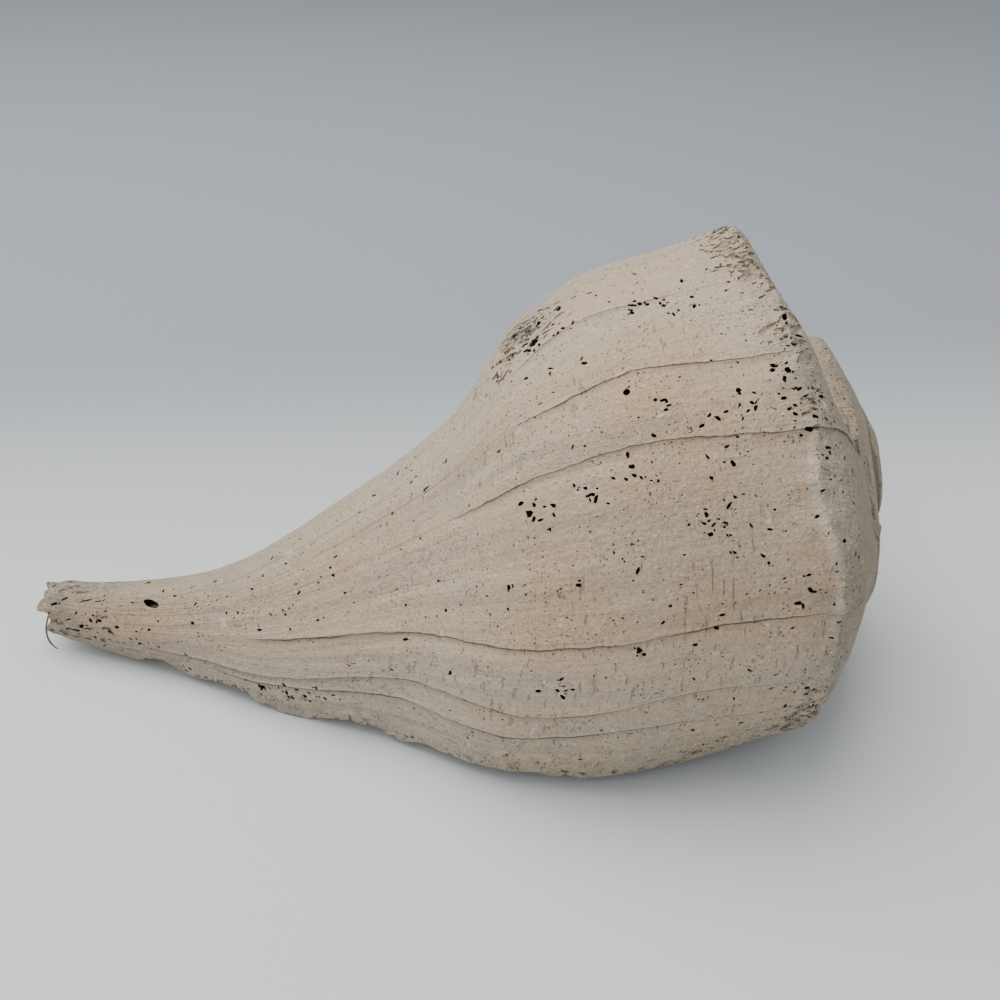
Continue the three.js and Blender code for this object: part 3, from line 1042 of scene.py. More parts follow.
class BoreHoles(Scooping):
    """Holes that sponges, worms and drills have left all over the shell."""

    name: str = "bore holes"
    clusters: tuple[Cluster, ...] = (
        Cluster(-104.5, 0.480, 18, 5.0, 0.024, (1.0, 2.1), 25.0),
        Cluster(-110.0, 0.470, 14, 4.0, 0.040, (1.1, 2.2), 25.0),
        Cluster(-112.0, 0.455, 20, 4.0, 0.040, (1.1, 2.2), 25.0),
        Cluster(-107.0, 0.480, 12, 3.0, 0.024, (1.2, 2.4), 25.0),
        Cluster(-99.5, 0.512, 10, 5.0, 0.018, (0.9, 1.8), 25.0),
        Cluster(-101.0, 0.446, 7, 1.2, 0.016, (0.9, 1.9), 15.0),
        Cluster(-101.0, 0.335, 10, 1.8, 0.018, (1.0, 1.9), 10.0),
        Cluster(-98.5, 0.312, 8, 1.8, 0.016, (0.9, 1.8), 0.0),
        Cluster(-79.0, 0.221, 10, 4.5, 0.012, (0.7, 1.6)),
        Cluster(-73.5, 0.222, 8, 3.5, 0.012, (0.7, 1.6)),
        Cluster(-86.0, 0.208, 10, 4.0, 0.010, (0.8, 1.9)),
        Cluster(-122.0, 0.200, 12, 8.0, 0.010, (0.9, 2.2)),
        Cluster(-128.0, 0.202, 16, 7.0, 0.012, (0.9, 2.2)),
        Cluster(-77.0, 0.190, 6, 7.0, 0.020, (0.7, 1.5)),
        Cluster(-55.5, 0.318, 6, 2.2, 0.014, (0.7, 1.6)),
        Cluster(-53.5, 0.303, 5, 2.2, 0.012, (0.7, 1.6)),
        Cluster(-53.0, 0.403, 5, 2.4, 0.014, (0.7, 1.5)),
        Cluster(-30.0, 0.465, 5, 1.8, 0.010, (0.7, 1.6)),
        Cluster(-63.0, 0.482, 6, 1.6, 0.010, (0.8, 1.7)),
        Cluster(-64.5, 0.435, 4, 1.4, 0.010, (0.7, 1.5)),
        Cluster(-64.5, 0.380, 4, 1.4, 0.010, (0.7, 1.5)),
        Cluster(-19.0, 0.238, 9, 5.0, 0.018, (0.7, 1.7)),
        Cluster(-11.5, 0.212, 18, 5.5, 0.018, (0.7, 1.7)),
        Cluster(-15.5, 0.715, 14, 4.0, 0.028, (0.7, 1.6)),
        Cluster(-15.5, 0.745, 8, 3.0, 0.018, (0.7, 1.6)),
        Cluster(-35.5, 0.393, 4, 1.2, 0.008, (0.7, 1.7)),
        Cluster(-47.5, 0.555, 5, 2.0, 0.014, (0.7, 1.5)),
        Cluster(-50.0, 0.510, 5, 2.0, 0.014, (0.7, 1.6)),
        Cluster(-41.5, 0.235, 6, 3.0, 0.012, (0.7, 1.7)),
        Cluster(-62.0, 0.422, 4, 1.5, 0.010, (0.7, 1.7)),
        Cluster(-60.0, 0.758, 4, 2.0, 0.012, (0.7, 1.7)),
        Cluster(-69.0, 0.710, 4, 3.0, 0.02, (0.7, 1.7)),
        Cluster(-77.0, 0.345, 5, 1.5, 0.012, (0.8, 1.8)),
        Cluster(-73.0, 0.300, 5, 1.6, 0.010, (0.8, 1.7)),
        Cluster(-74.5, 0.262, 5, 1.6, 0.010, (0.8, 1.7)),
        Cluster(-50.0, 0.180, 14, 16.0, 0.02, (0.6, 1.3)),
        Cluster(-70.0, 0.180, 8, 9.0, 0.02, (0.6, 1.3)),
        Cluster(-20.0, 0.170, 12, 9.0, 0.03, (0.7, 1.6)),
        Cluster(-7.0, 0.250, 16, 3.0, 0.050, (0.7, 1.5)),
        Cluster(-5.0, 0.800, 12, 3.0, 0.050, (0.6, 1.3)),
        Cluster(-38.0, 0.880, 5, 10.0, 0.02, (0.6, 1.4)),
        Cluster(-55.0, 0.945, 10, 20.0, 0.02, (0.7, 1.6)),
        Cluster(-140.0, 0.930, 10, 18.0, 0.03, (0.6, 1.4)),
        Cluster(-166.0, 0.203, 18, 9.0, 0.012, (0.8, 1.8)),
        Cluster(-207.0, 0.203, 14, 8.0, 0.012, (0.8, 1.8)),
        Cluster(-250.0, 0.203, 12, 8.0, 0.012, (0.8, 1.8)),
        Cluster(-150.0, 0.440, 20, 7.0, 0.03, (0.7, 1.8)),
        Cluster(-196.0, 0.360, 18, 7.0, 0.03, (0.7, 1.8)),
        Cluster(-235.0, 0.500, 14, 7.0, 0.03, (0.7, 1.7)),
    )
    single_holes: tuple[Scoop, ...] = (
        Scoop(-80.0, 0.378, 2.2, 2.1, 2.6, 0.0, 0.05),
        Scoop(-77.0, 0.268, 2.0, 1.9, 2.6, 0.0, 0.05),
        Scoop(-85.5, 0.885, 6.8, 2.6, 3.2, 66.0, 0.12),
        Scoop(-69.0, 0.213, 2.8, 1.7, 2.0, 70.0),
        Scoop(-28.0, 0.462, 2.2, 1.3, 1.8, 40.0),
        Scoop(-66.5, 0.387, 2.4, 1.5, 2.0, 80.0),
        Scoop(-89.0, 0.414, 2.6, 1.4, 2.0, 60.0),
        Scoop(-107.5, 0.462, 3.2, 1.8, 2.4, 85.0),
        Scoop(-104.0, 0.476, 2.8, 1.7, 2.4, 80.0),
    )
    front_scatter: int = 330
    foreshortened: float = -95.0
    scatter: int = 255
    spire_scatter: int = 44
    slots: int = 10
    pair_chance: float = 0.35

    def hole(self, angle: float, at: float, size: tuple[float, float], turn: float = 90.0) -> Scoop:
        """Small hole of a random size and shape at one place, longest near the given turn."""
        rng = self.rng
        width = size[0] + (size[1] - size[0]) * rng.random() ** 2.2
        length = width * rng.uniform(1.1, 2.0)
        depth = 0.5 + width * rng.uniform(0.7, 1.2)
        return Scoop(angle, at, length, width * 0.95, depth, rng.normal(turn, 40.0), 0.4)

    def plan(self) -> list[Scoop]:
        """Every hole that the shell is to have; some have a partner that runs into them."""
        rng = self.rng
        holes = list(self.single_holes)
        for group in self.clusters:
            for _ in range(group.count):
                angle = group.angle + group.spread_angle * rng.normal() * 0.7
                at = group.at + group.spread_at * rng.normal() * 0.7
                holes.append(self.hole(angle, at, group.size, group.turn))
                if rng.random() < self.pair_chance:
                    angle, at = angle + rng.normal(0.0, 0.5), at + rng.normal(0.0, 0.005)
                    holes.append(self.hole(angle, at, group.size, group.turn))
        for _ in range(self.front_scatter):
            angle = rng.uniform(-118.0, -3.0)
            turn = 90.0 if angle > self.foreshortened else 20.0
            holes.append(self.hole(angle, 0.19 + 0.76 * rng.random() ** 1.3, (0.6, 1.5), turn))
        for _ in range(self.scatter):
            angle = rng.uniform(-360.0, -118.0)
            holes.append(self.hole(angle, rng.uniform(0.04, 0.97), (0.6, 1.6)))
        for _ in range(self.spire_scatter):
            holes.append(self.hole(rng.uniform(-800.0, -340.0), rng.uniform(0.05, 0.2), (0.4, 1.1)))
        for _ in range(self.slots):
            angle = rng.uniform(-140.0, -10.0)
            length = rng.uniform(2.5, 6.0)
            at, width = rng.uniform(0.93, 0.985), rng.uniform(0.7, 1.2)
            holes.append(Scoop(angle, at, length, width, 1.4, 90.0))
        return holes


def linear(red: float, green: float, blue: float) -> tuple[float, float, float, float]:
    """Scene colour of a screen colour given from 0 to 1."""
    return (*(((c + 0.055) / 1.055) ** 2.4 if c > 0.04045 else c / 12.92 for c in (red, green, blue)), 1.0)


Value = bpy.types.NodeSocket | float | tuple


class NodeSheet:
    """Short calls that add and wire the nodes of one material."""

    def __init__(self, name: str) -> None:
        """Starts a material.

        Args:
            name: name of the material.
        """
        self.material = bpy.data.materials.new(name)
        self.material.use_nodes = True
        self.nodes = self.material.node_tree.nodes
        self.links = self.material.node_tree.links
        self.shader = self.nodes["Principled BSDF"]
        self.place = self.nodes.new("ShaderNodeTexCoord").outputs["Object"]

    def put(self, value: Value, socket: bpy.types.NodeSocket) -> None:
        """Links a socket to a socket, or sets a plain value."""
        if isinstance(value, bpy.types.NodeSocket):
            self.links.new(value, socket)
        else:
            socket.default_value = value

    def attribute(self, name: str) -> bpy.types.NodeSocket:
        """Number stored on the mesh."""
        node = self.nodes.new("ShaderNodeAttribute")
        node.attribute_name = name
        return node.outputs["Fac"]

    def math(self, kind: str, first: Value, second: Value = 0.0) -> bpy.types.NodeSocket:
        """One sum on one or two values."""
        node = self.nodes.new("ShaderNodeMath")
        node.operation = kind
        self.put(first, node.inputs[0])
        self.put(second, node.inputs[1])
        return node.outputs[0]

    def times(self, first: Value, second: Value) -> bpy.types.NodeSocket:
        """Product of two values."""
        return self.math("MULTIPLY", first, second)

    def plus(self, first: Value, second: Value) -> bpy.types.NodeSocket:
        """Sum of two values."""
        return self.math("ADD", first, second)

    def minus(self, first: Value, second: Value) -> bpy.types.NodeSocket:
        """The first value less the second."""
        return self.math("SUBTRACT", first, second)

    def vector(self, x: Value, y: Value, z: Value) -> bpy.types.NodeSocket:
        """Three values as one vector."""
        node = self.nodes.new("ShaderNodeCombineXYZ")
        for value, socket in zip((x, y, z), node.inputs):
            self.put(value, socket)
        return node.outputs[0]

    def noise(
        self, where: Value, scale: float, detail: float = 3.0, roughness: float = 0.55
    ) -> bpy.types.NodeSocket:
        """Cloudy pattern from 0 to 1."""
        node = self.nodes.new("ShaderNodeTexNoise")
        self.put(where, node.inputs["Vector"])
        node.inputs["Scale"].default_value = scale
        node.inputs["Detail"].default_value = detail
        node.inputs["Roughness"].default_value = roughness
        return node.outputs["Fac"]

    def warp(self, where: Value, scale: float, amount: float) -> bpy.types.NodeSocket:
        """Place shifted by a cloudy pattern, in metres, so that round dots come out uneven."""
        cloud = self.nodes.new("ShaderNodeTexNoise")
        self.put(where, cloud.inputs["Vector"])
        cloud.inputs["Scale"].default_value = scale
        shift = self.nodes.new("ShaderNodeVectorMath")
        shift.operation = "MULTIPLY_ADD"
        self.put(cloud.outputs["Color"], shift.inputs[0])
        shift.inputs[1].default_value = (amount, amount, amount)
        self.put(where, shift.inputs[2])
        return shift.outputs[0]

    def cells(self, where: Value, scale: float) -> tuple[bpy.types.NodeSocket, bpy.types.NodeSocket]:
        """Distance to the nearest of many scattered dots, and a number that is each dot's own."""
        node = self.nodes.new("ShaderNodeTexVoronoi")
        self.put(where, node.inputs["Vector"])
        node.inputs["Scale"].default_value = scale
        parts = self.nodes.new("ShaderNodeSeparateColor")
        self.links.new(node.outputs["Color"], parts.inputs[0])
        return node.outputs["Distance"], parts.outputs[0]

    def step(
        self, value: Value, low: float, high: float, start: float = 0.0, end: float = 1.0
    ) -> bpy.types.NodeSocket:
        """Soft step from start at low to end at high."""
        node = self.nodes.new("ShaderNodeMapRange")
        node.interpolation_type = "SMOOTHSTEP"
        for setting, socket in zip((value, low, high, start, end), node.inputs):
            self.put(setting, socket)
        return node.outputs[0]

    def mix(self, amount: Value, first: Value, second: Value) -> bpy.types.NodeSocket:
        """Blend of two colours."""
        node = self.nodes.new("ShaderNodeMix")
        node.data_type = "RGBA"
        self.put(amount, node.inputs[0])
        self.put(first, node.inputs[6])
        self.put(second, node.inputs[7])
        return node.outputs[2]

    def bump(self, height: Value, strength: float, distance: float) -> None:
        """Fine relief on the finished surface."""
        node = self.nodes.new("ShaderNodeBump")
        node.inputs["Strength"].default_value = strength
        node.inputs["Distance"].default_value = distance
        self.put(height, node.inputs["Height"])
        self.links.new(node.outputs[0], self.shader.inputs["Normal"])


@dataclass(frozen=True)
class ChalkFinish:
    """Bleached, chalky shell with faint growth bands, painted shade in holes and under ledges, painted
    highlights and tiny specks.
    """

    name: str = "bleached_shell"
    cream: tuple[float, float, float] = (0.765, 0.685, 0.585)
    peach: tuple[float, float, float] = (0.78, 0.66, 0.535)
    mauve: tuple[float, float, float] = (0.68, 0.615, 0.54)
    pale: tuple[float, float, float] = (0.83, 0.77, 0.68)
    tan: tuple[float, float, float] = (0.64, 0.54, 0.445)
    ash: tuple[float, float, float] = (0.67, 0.635, 0.58)
    shade: tuple[float, float, float] = (0.55, 0.48, 0.40)
    dust: tuple[float, float, float] = (0.36, 0.31, 0.26)
    grey: tuple[float, float, float] = (0.58, 0.555, 0.50)
    # Near-black colour of the painted shade in holes and under ledges; the specks use it too.
    pit_shade: tuple[float, float, float] = (0.13, 0.11, 0.09)
    # Chalky white of grain and scuffs, also used for the painted highlights on the ridge and the ledges.
    chalk_and_highlight: tuple[float, float, float] = (0.88, 0.85, 0.79)
    roughness: float = 0.88
    shine: float = 0.22
    relief_strength: float = 0.9
    relief_depth: float = 0.0011
    patch_scale: float = 22.0
    where_scale: float = 42.0
    clump_scale: float = 75.0
    wander_scale: float = 150.0
    dent_scale: float = 170.0
    scuff_scale: float = 190.0
    wear_scale: float = 260.0
    lump_scale: float = 430.0
    grain_scale: float = 1300.0
    specks: tuple[tuple[float, float, float, float], ...] = (
        (700.0, 0.22, 0.70, 0.84),
        (1300.0, 0.30, 0.56, 0.76),
    )

    def ground(self, sheet: NodeSheet) -> bpy.types.NodeSocket:
        """Patchy cream colour with soft bands along the growth lines.

        Args:
            sheet: the material in the making.

        Returns:
            The colour.
        """
        growth, station = sheet.attribute("growth"), sheet.attribute("station")
        patches = sheet.noise(sheet.place, self.patch_scale, 4.0)
        colour = sheet.mix(sheet.step(patches, 0.40, 0.62), linear(*self.cream), linear(*self.peach))
        clouds = sheet.noise(sheet.vector(sheet.times(growth, 0.045), station, 0.3), 5.0, 3.0)
        colour = sheet.mix(sheet.step(clouds, 0.48, 0.68, 0.0, 0.7), colour, linear(*self.mauve))
        bands = sheet.vector(sheet.times(growth, 0.28), sheet.times(station, 3.0), 0.0)
        band = sheet.noise(bands, 1.0, 4.0, 0.6)
        colour = sheet.mix(sheet.step(band, 0.52, 0.74, 0.0, 0.55), colour, linear(*self.pale))
        colour = sheet.mix(sheet.step(band, 0.46, 0.28, 0.0, 0.35), colour, linear(*self.shade))
        browner = sheet.times(sheet.step(growth, -86.0, -64.0), sheet.step(growth, -24.0, -44.0))
        browner = sheet.times(browner, sheet.step(station, 0.62, 0.30, 0.0, 0.48))
        colour = sheet.mix(browner, colour, linear(*self.tan))
        newest = sheet.times(sheet.step(growth, -40.0, -28.0), sheet.step(band, 0.66, 0.36, 0.25, 0.75))
        colour = sheet.mix(newest, colour, linear(*self.ash))
        lighter = sheet.times(sheet.step(growth, -80.0, -98.0, 0.0, 0.45), sheet.step(station, 0.16, 0.24))
        return sheet.mix(lighter, colour, linear(*self.pale))

    def threads(self, sheet: NodeSheet) -> bpy.types.NodeSocket:
        """Fine pattern along the growth lines."""
        growth, station = sheet.attribute("growth"), sheet.attribute("station")
        run = sheet.vector(sheet.times(growth, 1.1), sheet.times(station, 9.0), 0.7)
        return sheet.noise(run, 1.0, 4.0, 0.65)

    def hairlines(self, sheet: NodeSheet) -> bpy.types.NodeSocket:
        """Short cracks across the growth lines, mostly on the older part and near the lip."""
        growth, station = sheet.attribute("growth"), sheet.attribute("station")
        run = sheet.vector(sheet.times(growth, 0.22), sheet.times(station, 190.0), 2.0)
        cracks = sheet.step(sheet.noise(run, 1.0, 2.0, 0.5), 0.61, 0.69)
        hair = sheet.times(cracks, sheet.step(station, 0.74, 0.60))
        where = sheet.step(sheet.noise(sheet.place, self.where_scale, 3.0), 0.48, 0.62)
        zone = sheet.times(sheet.step(growth, -38.0, -36.0), sheet.step(growth, -20.0, -30.0))
        return sheet.times(hair, sheet.math("MAXIMUM", where, zone))

    def shoulder(self, sheet: NodeSheet, colour: Value) -> bpy.types.NodeSocket:
        """Greyer ramp beside the shoulder, and a painted highlight: a paler ridge where the shoulder is lit.

        Args:
            sheet: the material in the making.
            colour: the colour so far.

        Returns:
            The new colour.
        """
        growth, brow = sheet.attribute("growth"), sheet.attribute("brow")
        patches = sheet.noise(sheet.place, self.patch_scale, 4.0)
        ramp = sheet.times(sheet.step(brow, 0.001, -0.006), sheet.step(patches, 0.30, 0.60, 0.25, 0.55))
        colour = sheet.mix(ramp, colour, linear(*self.grey))
        # Painted highlight: paler ridge crest over the lit stretch of the shoulder.
        ridge = sheet.times(sheet.step(brow, -0.004, 0.0), sheet.step(brow, 0.012, 0.003))
        lit = sheet.times(sheet.step(growth, -75.0, -62.0), sheet.step(growth, -30.0, -42.0))
        return sheet.mix(sheet.times(ridge, sheet.times(lit, 0.32)), colour, linear(*self.chalk_and_highlight))

    def chalkiness(
        self, sheet: NodeSheet, colour: Value, grain: Value, lumps: Value
    ) -> bpy.types.NodeSocket:
        """Bare patches, chalky grain and scuffs.

        Args:
            sheet: the material in the making.
            colour: the colour so far.
            grain: finest pattern.
            lumps: coarser pattern.

        Returns:
            The new colour.
        """
        bare = sheet.step(sheet.noise(sheet.place, self.wear_scale, 3.0, 0.6), 0.42, 0.60, 0.15, 0.75)
        colour = sheet.mix(sheet.times(sheet.attribute("worn"), bare), colour, linear(*self.grey))
        colour = sheet.mix(sheet.step(grain, 0.54, 0.72, 0.0, 0.5), colour, linear(*self.chalk_and_highlight))
        colour = sheet.mix(sheet.step(grain, 0.46, 0.30, 0.0, 0.5), colour, linear(*self.shade))
        colour = sheet.mix(sheet.step(lumps, 0.42, 0.28, 0.0, 0.3), colour, linear(*self.shade))
        scuffs = sheet.noise(sheet.warp(sheet.place, 60.0, 0.02), self.scuff_scale, 3.0, 0.6)
        return sheet.mix(sheet.step(scuffs, 0.66, 0.74, 0.0, 0.6), colour, linear(*self.chalk_and_highlight))

    def speckling(self, sheet: NodeSheet) -> bpy.types.NodeSocket:
        """Tiny dark specks in clumps, thicker where the shell is worn.

        Args:
            sheet: the material in the making.

        Returns:
            1 in a speck, 0 elsewhere.
        """
        uneven = sheet.warp(sheet.place, 900.0, 0.0011)
        clump = sheet.noise(sheet.place, self.clump_scale, 3.0, 0.65)
        odds = sheet.times(sheet.plus(clump, sheet.times(sheet.attribute("worn"), 0.12)), 1.6)
        speck = 0.0
        for scale, size, low, high in self.specks:
            distance, own = sheet.cells(uneven, scale)
            chosen = sheet.step(sheet.minus(odds, own), low, high)
            dot = sheet.times(sheet.step(distance, size, size * 0.55), chosen)
            speck = sheet.math("MAXIMUM", speck, dot)
        return speck

    def ledges(
        self, sheet: NodeSheet, colour: Value, height: Value
    ) -> tuple[bpy.types.NodeSocket, bpy.types.NodeSocket]:
        """Painted shadow and painted highlight at every main ledge: a dark shadow line at its foot, soft
        painted shade below it and a paler upper edge as a highlight.

        Args:
            sheet: the material in the making.
            colour: the colour so far.
            height: the fine relief so far.

        Returns:
            The new colour and the new relief.
        """
        wander = sheet.noise(sheet.place, self.wander_scale, 4.0)
        wiggle = sheet.times(sheet.minus(wander, 0.5), 1.8)
        broken = sheet.step(sheet.noise(sheet.place, self.where_scale, 3.0), 0.40, 0.60, 0.08, 1.0)
        for index in range(PAINTED_SHADOW_LEDGES):
            past = sheet.plus(sheet.attribute(f"ledge_{index}"), wiggle)
            # Painted shadow: a dark line along the ledge's foot, broken in places.
            foot = sheet.math("ABSOLUTE", sheet.minus(past, 0.12))
            line = sheet.times(sheet.step(foot, 0.42, 0.12), broken)
            # Painted shade: soft darkening just past the ledge, on the newer shell.
            shade_halo = sheet.times(sheet.step(past, -0.2, 0.1), sheet.step(past, 2.2, 0.2))
            colour = sheet.mix(sheet.times(shade_halo, 0.35), colour, linear(*self.shade))
            # Painted highlight: paler band on the older, raised side just above the ledge.
            highlight_rim = sheet.times(sheet.step(past, -1.3, -0.5), sheet.step(past, -0.1, -0.35))
            colour = sheet.mix(sheet.times(highlight_rim, 0.2), colour, linear(*self.chalk_and_highlight))
            colour = sheet.mix(sheet.times(line, 0.58), colour, linear(*self.pit_shade))
            drop = sheet.times(sheet.step(past, -0.1, 0.12), sheet.step(past, 9.0, 0.2))
            height = sheet.minus(height, sheet.times(drop, 1.1))
        return colour, height

    def material(self) -> bpy.types.Material:
        """Makes the material.

        Returns:
            The finished material, which reads the shell's own attributes.
        """
        sheet = NodeSheet(self.name)
        fine, hair, speck = self.threads(sheet), self.hairlines(sheet), self.speckling(sheet)
        lumps = sheet.noise(sheet.place, self.lump_scale, 3.0, 0.6)
        grain = sheet.noise(sheet.place, self.grain_scale, 3.0, 0.7)
        stripes = sheet.step(sheet.attribute("station"), 0.75, 0.50, 0.3, 1.0)
        thin = sheet.times(sheet.step(fine, 0.55, 0.75, 0.0, 0.24), stripes)
        colour = sheet.mix(thin, self.ground(sheet), linear(*self.shade))
        colour = sheet.mix(sheet.times(hair, 0.36), colour, linear(*self.dust))
        colour = self.chalkiness(sheet, self.shoulder(sheet, colour), grain, lumps)
        colour = sheet.mix(sheet.times(speck, 0.8), colour, linear(*self.pit_shade))
        height = sheet.plus(sheet.times(fine, 0.9), sheet.times(grain, 0.9))
        height = sheet.plus(height, sheet.times(lumps, 1.3))
        dents = sheet.noise(sheet.place, self.dent_scale, 2.0)
        colour, height = self.ledges(sheet, colour, sheet.plus(height, sheet.times(dents, 0.9)))
        # Painted shade: holes darken with their depth below the uncut surface.
        colour = sheet.mix(sheet.step(sheet.attribute("pit_shade"), 0.06, 0.55), colour, linear(*self.pit_shade))
        height = sheet.minus(height, sheet.times(speck, 1.4))
        height = sheet.minus(height, sheet.times(hair, 0.6))
        sheet.put(colour, sheet.shader.inputs["Base Color"])
        sheet.shader.inputs["Roughness"].default_value = self.roughness
        sheet.shader.inputs["Specular IOR Level"].default_value = self.shine
        sheet.bump(height, self.relief_strength, self.relief_depth)
        return sheet.material


@dataclass(frozen=True)
class FibreFinish:
    """Dull dark plant fibre."""

    name: str = "dark_fibre"
    colour: tuple[float, float, float] = (0.27, 0.25, 0.23)
    light: tuple[float, float, float] = (0.42, 0.38, 0.33)
    spot_scale: float = 900.0
    roughness: float = 0.8

    def material(self) -> bpy.types.Material:
        """Makes the material.

        Returns:
            The finished material.
        """
        sheet = NodeSheet(self.name)
        spots = sheet.step(sheet.noise(sheet.place, self.spot_scale, 2.0), 0.4, 0.6)
        colour = sheet.mix(spots, linear(*self.colour), linear(*self.light))
        sheet.put(colour, sheet.shader.inputs["Base Color"])
        sheet.shader.inputs["Roughness"].default_value = self.roughness
        return sheet.material


@dataclass(frozen=True)
class FloorFinish:
    """Pale matt floor, darkened with painted shade behind the shell."""

    name: str = "pale_floor"
    near: tuple[float, float, float] = (0.83, 0.84, 0.835)
    far: tuple[float, float, float] = (0.60, 0.62, 0.64)
    far_from: float = 0.26
    roughness: float = 0.7

    def material(self) -> bpy.types.Material:
        """Makes the material, with painted shade that greys it behind the shell.

        Returns:
            The finished material, which turns from near to far over far_from metres.
        """
        sheet = NodeSheet(self.name)
        parts = sheet.nodes.new("ShaderNodeSeparateXYZ")
        sheet.put(sheet.place, parts.inputs[0])
        # Painted shade: the floor greys with distance behind the shell.
        away = sheet.step(parts.outputs[1], 0.0, self.far_from)
        colour = sheet.mix(away, linear(*self.near), linear(*self.far))
        sheet.put(colour, sheet.shader.inputs["Base Color"])
        sheet.shader.inputs["Roughness"].default_value = self.roughness
        return sheet.material


@dataclass(frozen=True)
class Strand:
    """Short jointed fibre caught under the canal's tip, in metres."""

    route: tuple[tuple[float, float, float], ...] = (
        (-0.1162, 0.0190, 0.0128),
        (-0.1176, 0.0184, 0.0096),
        (-0.1180, 0.0180, 0.0066),
        (-0.1178, 0.0174, 0.0044),
        (-0.1166, 0.0169, 0.0028),
        (-0.1152, 0.0164, 0.0018),
    )
    radius: float = 0.00025
    swelling: tuple[float, ...] = (0.9, 1.25, 0.85, 1.3, 0.9, 0.6)
    smooth_angle: float = 50.0

    def build(self, finish: FibreFinish) -> bpy.types.Object:
        """Makes the fibre.

        Args:
            finish: its material.

        Returns:
            The fibre as a closed mesh in the CAD frame.
        """
        deselect_all()
        bpy.ops.curve.primitive_nurbs_path_add()
        path = bpy.context.object
        path.name = "strand"
        spline = path.data.splines[0]
        spline.points.add(len(self.route) - len(spline.points))
        for point, place in zip(spline.points, self.route):
            point.co = (*place, 1.0)
        for point, width in zip(spline.points, self.swelling):
            point.radius = width
        spline.use_endpoint_u = True
        path.data.bevel_depth = self.radius
        path.data.bevel_resolution = 2
        path.data.use_fill_caps = True
        pick(path)
        bpy.ops.object.convert(target="MESH")
        bpy.ops.object.transform_apply(location=True, rotation=True, scale=True)
        strand = bpy.context.object
        bpy.ops.object.mode_set(mode="EDIT")
        bpy.ops.mesh.select_all(action="SELECT")
        bpy.ops.mesh.remove_doubles(threshold=1e-6)
        bpy.ops.mesh.normals_make_consistent(inside=False)
        bpy.ops.object.mode_set(mode="OBJECT")
        bpy.ops.object.shade_smooth_by_angle(angle=math.radians(self.smooth_angle))
        strand.data.materials.append(finish.material())
        return strand


class ShellDresser:
    """Turns the raw shell solid into the finished piece."""

    smooth_angle: float = 38.0

    def __init__(self, shell: WhelkShell, body: bpy.types.Object) -> None:
        """Keeps the shell and its solid.

        Args:
            shell: the shell's sizes.
            body: the solid in the shell's own frame.
        """
        self.shell = shell
        self.body = body

    def mark(self, pits: np.ndarray) -> None:
        """Stores what the material reads: growth, station, hole depths for painted shade, wear, shoulder and
        ledges.

        Args:
            pits: how deep each vertex lies in a hole, which the material paints as shade.
        """
        points = read_points(self.body)
        angle, at = ShellCoordinates(self.shell.law).locate(points)
        worn = np.maximum(bump(at, 0.2, 0.03), smooth(at, 0.88, 0.98))
        worn = np.maximum(worn, 0.8 * smooth(angle, -26.0, -8.0) * smooth(at, 0.45, 0.65))
        worn = np.maximum(worn, bump(angle, -113.0, 11.0) * bump(at, 0.48, 0.05))
        worn = np.maximum(worn, bump(angle, -114.0, 11.0) * bump(at, 0.21, 0.035))
        worn = np.maximum(worn, bump(angle, -8.0, 8.0) * bump(at, 0.22, 0.06))
        worn = np.maximum(worn, 0.6 * smooth(angle, -30.0, -8.0) * (1.0 - smooth(at, 0.55, 0.75)))
        for name, values in (
            ("growth", angle),
            ("station", at),
            ("pit_shade", pits),
            ("worn", worn),
            ("brow", at - self.shell.relief.brow_at(angle)),
        ):
            write_attribute(self.body, name, values)
        radius = self.shell.law.edge(angle, at).radius
        # Distances past the main ledges, where the material paints shadow and highlight.
        for index, scar in enumerate(self.shell.relief.scars[:PAINTED_SHADOW_LEDGES]):
            past = self.shell.relief.ledge_distance(scar, angle, at, radius)
            write_attribute(self.body, f"ledge_{index}", past)

    def lay_down(self) -> None:
        """Puts the shell in its resting pose and wears its contact spots flat."""
        write_points(self.body, self.shell.pose.to_cad(read_points(self.body)))
        deselect_all()
        bpy.ops.mesh.primitive_cube_add(size=1, location=(0, 0, -0.5))
        table = bpy.context.object
        bpy.ops.object.transform_apply(location=True)
        boolean(self.body, table, Join.CUT)

    def finish(self, finish: ChalkFinish) -> bpy.types.Object:
        """Shades and names the piece.

        Args:
            finish: its material.

        Returns:
            The finished shell.
        """
        pick(self.body)
        bpy.ops.object.shade_smooth_by_angle(angle=math.radians(self.smooth_angle))
        self.body.name = "whelk_shell"
        self.body.data.name = "whelk_shell"
        self.body.data.materials.clear()
        self.body.data.materials.append(finish.material())
        return self.body


@dataclass(frozen=True)
class Lamp:
    """Square soft light: its name, place and size in metres, and power."""

    name: str
    place: tuple[float, float, float]
    size: float
    power: float


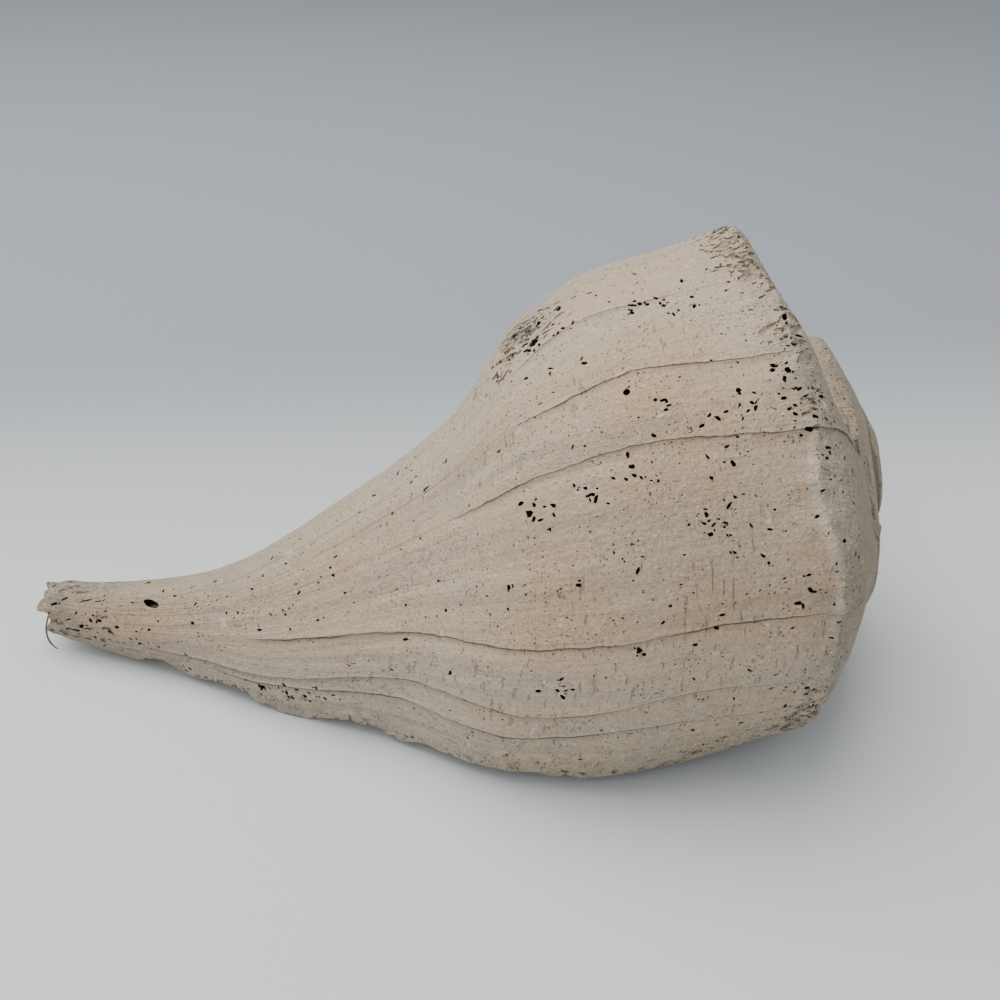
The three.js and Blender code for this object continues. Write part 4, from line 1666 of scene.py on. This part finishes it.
@dataclass(frozen=True)
class Studio:
    """Pale floor, soft light from above and the camera, in metres."""

    camera_place: tuple[float, float, float] = (-0.0363, -0.27813, 0.2095)
    right: tuple[float, float, float] = (0.9884, -0.1502, 0.0216)
    up: tuple[float, float, float] = (0.0546, 0.4852, 0.8727)
    lens: float = 43.2
    sensor: float = 36.0
    nearest: float = 0.01
    aim: tuple[float, float, float] = (0.0, 0.0, 0.04)
    lamps: tuple[Lamp, ...] = (
        Lamp("ceiling", (-0.38, 0.22, 1.25), 1.4, 21.5),
        Lamp("window", (-0.8, -0.9, 0.8), 1.2, 7.0),
    )
    floor_size: float = 6.0
    world_colour: tuple[float, float, float] = (0.80, 0.82, 0.84)
    world_strength: float = 0.92

    def light(self, lamp: Lamp) -> None:
        """Hangs one lamp, aimed at the shell.

        Args:
            lamp: the lamp to hang.
        """
        deselect_all()
        bpy.ops.object.light_add(type="AREA", location=lamp.place)
        light = bpy.context.object
        light.name = lamp.name
        light.data.size = lamp.size
        light.data.energy = lamp.power
        aim = Vector(self.aim) - Vector(lamp.place)
        light.rotation_euler = aim.to_track_quat("-Z", "Y").to_euler()

    def build(self, finish: FloorFinish) -> None:
        """Sets up the floor, the lights, the world and the camera.

        Args:
            finish: material of the floor.
        """
        deselect_all()
        bpy.ops.mesh.primitive_plane_add(size=self.floor_size)
        floor = bpy.context.object
        floor.name = "floor"
        floor.data.materials.append(finish.material())
        for lamp in self.lamps:
            self.light(lamp)
        world = bpy.data.worlds.new("soft_world")
        world.use_nodes = True
        sky = world.node_tree.nodes["Background"]
        sky.inputs["Color"].default_value = linear(*self.world_colour)
        sky.inputs["Strength"].default_value = self.world_strength
        bpy.context.scene.world = world
        deselect_all()
        bpy.ops.object.camera_add(location=self.camera_place)
        camera = bpy.context.object
        right, up = Vector(self.right).normalized(), Vector(self.up).normalized()
        camera.rotation_euler = Matrix((right, up, right.cross(up))).transposed().to_euler()
        camera.data.lens = self.lens
        camera.data.sensor_width = self.sensor
        camera.data.clip_start = self.nearest
        bpy.context.scene.camera = camera


def main() -> None:
    """Builds the shell, dresses it and sets up the studio."""
    logging.basicConfig(level=logging.INFO, format="%(message)s")
    shell = WhelkShell(GrowthLaw(), Relief(), Hollow(), RestingPose())
    body = shell.build()
    RoughPatches(shell, body, SEED + 2).cut()
    holes = BoreHoles(shell, body, SEED + 1)
    holes.cut()
    dresser = ShellDresser(shell, body)
    dresser.mark(holes.depths())
    dresser.lay_down()
    piece = dresser.finish(ChalkFinish())
    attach(piece, "root")
    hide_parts("shell")
    mesh = piece.data
    log.info("whelk_shell: %d vertices, %d faces", len(mesh.vertices), len(mesh.polygons))
    strand = Strand().build(FibreFinish())
    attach(strand, "root")
    log.info("strand: %d faces", len(strand.data.polygons))
    Studio().build(FloorFinish())
    log.info("studio: floor, lights and camera")


if __name__ == "__main__":
    main()
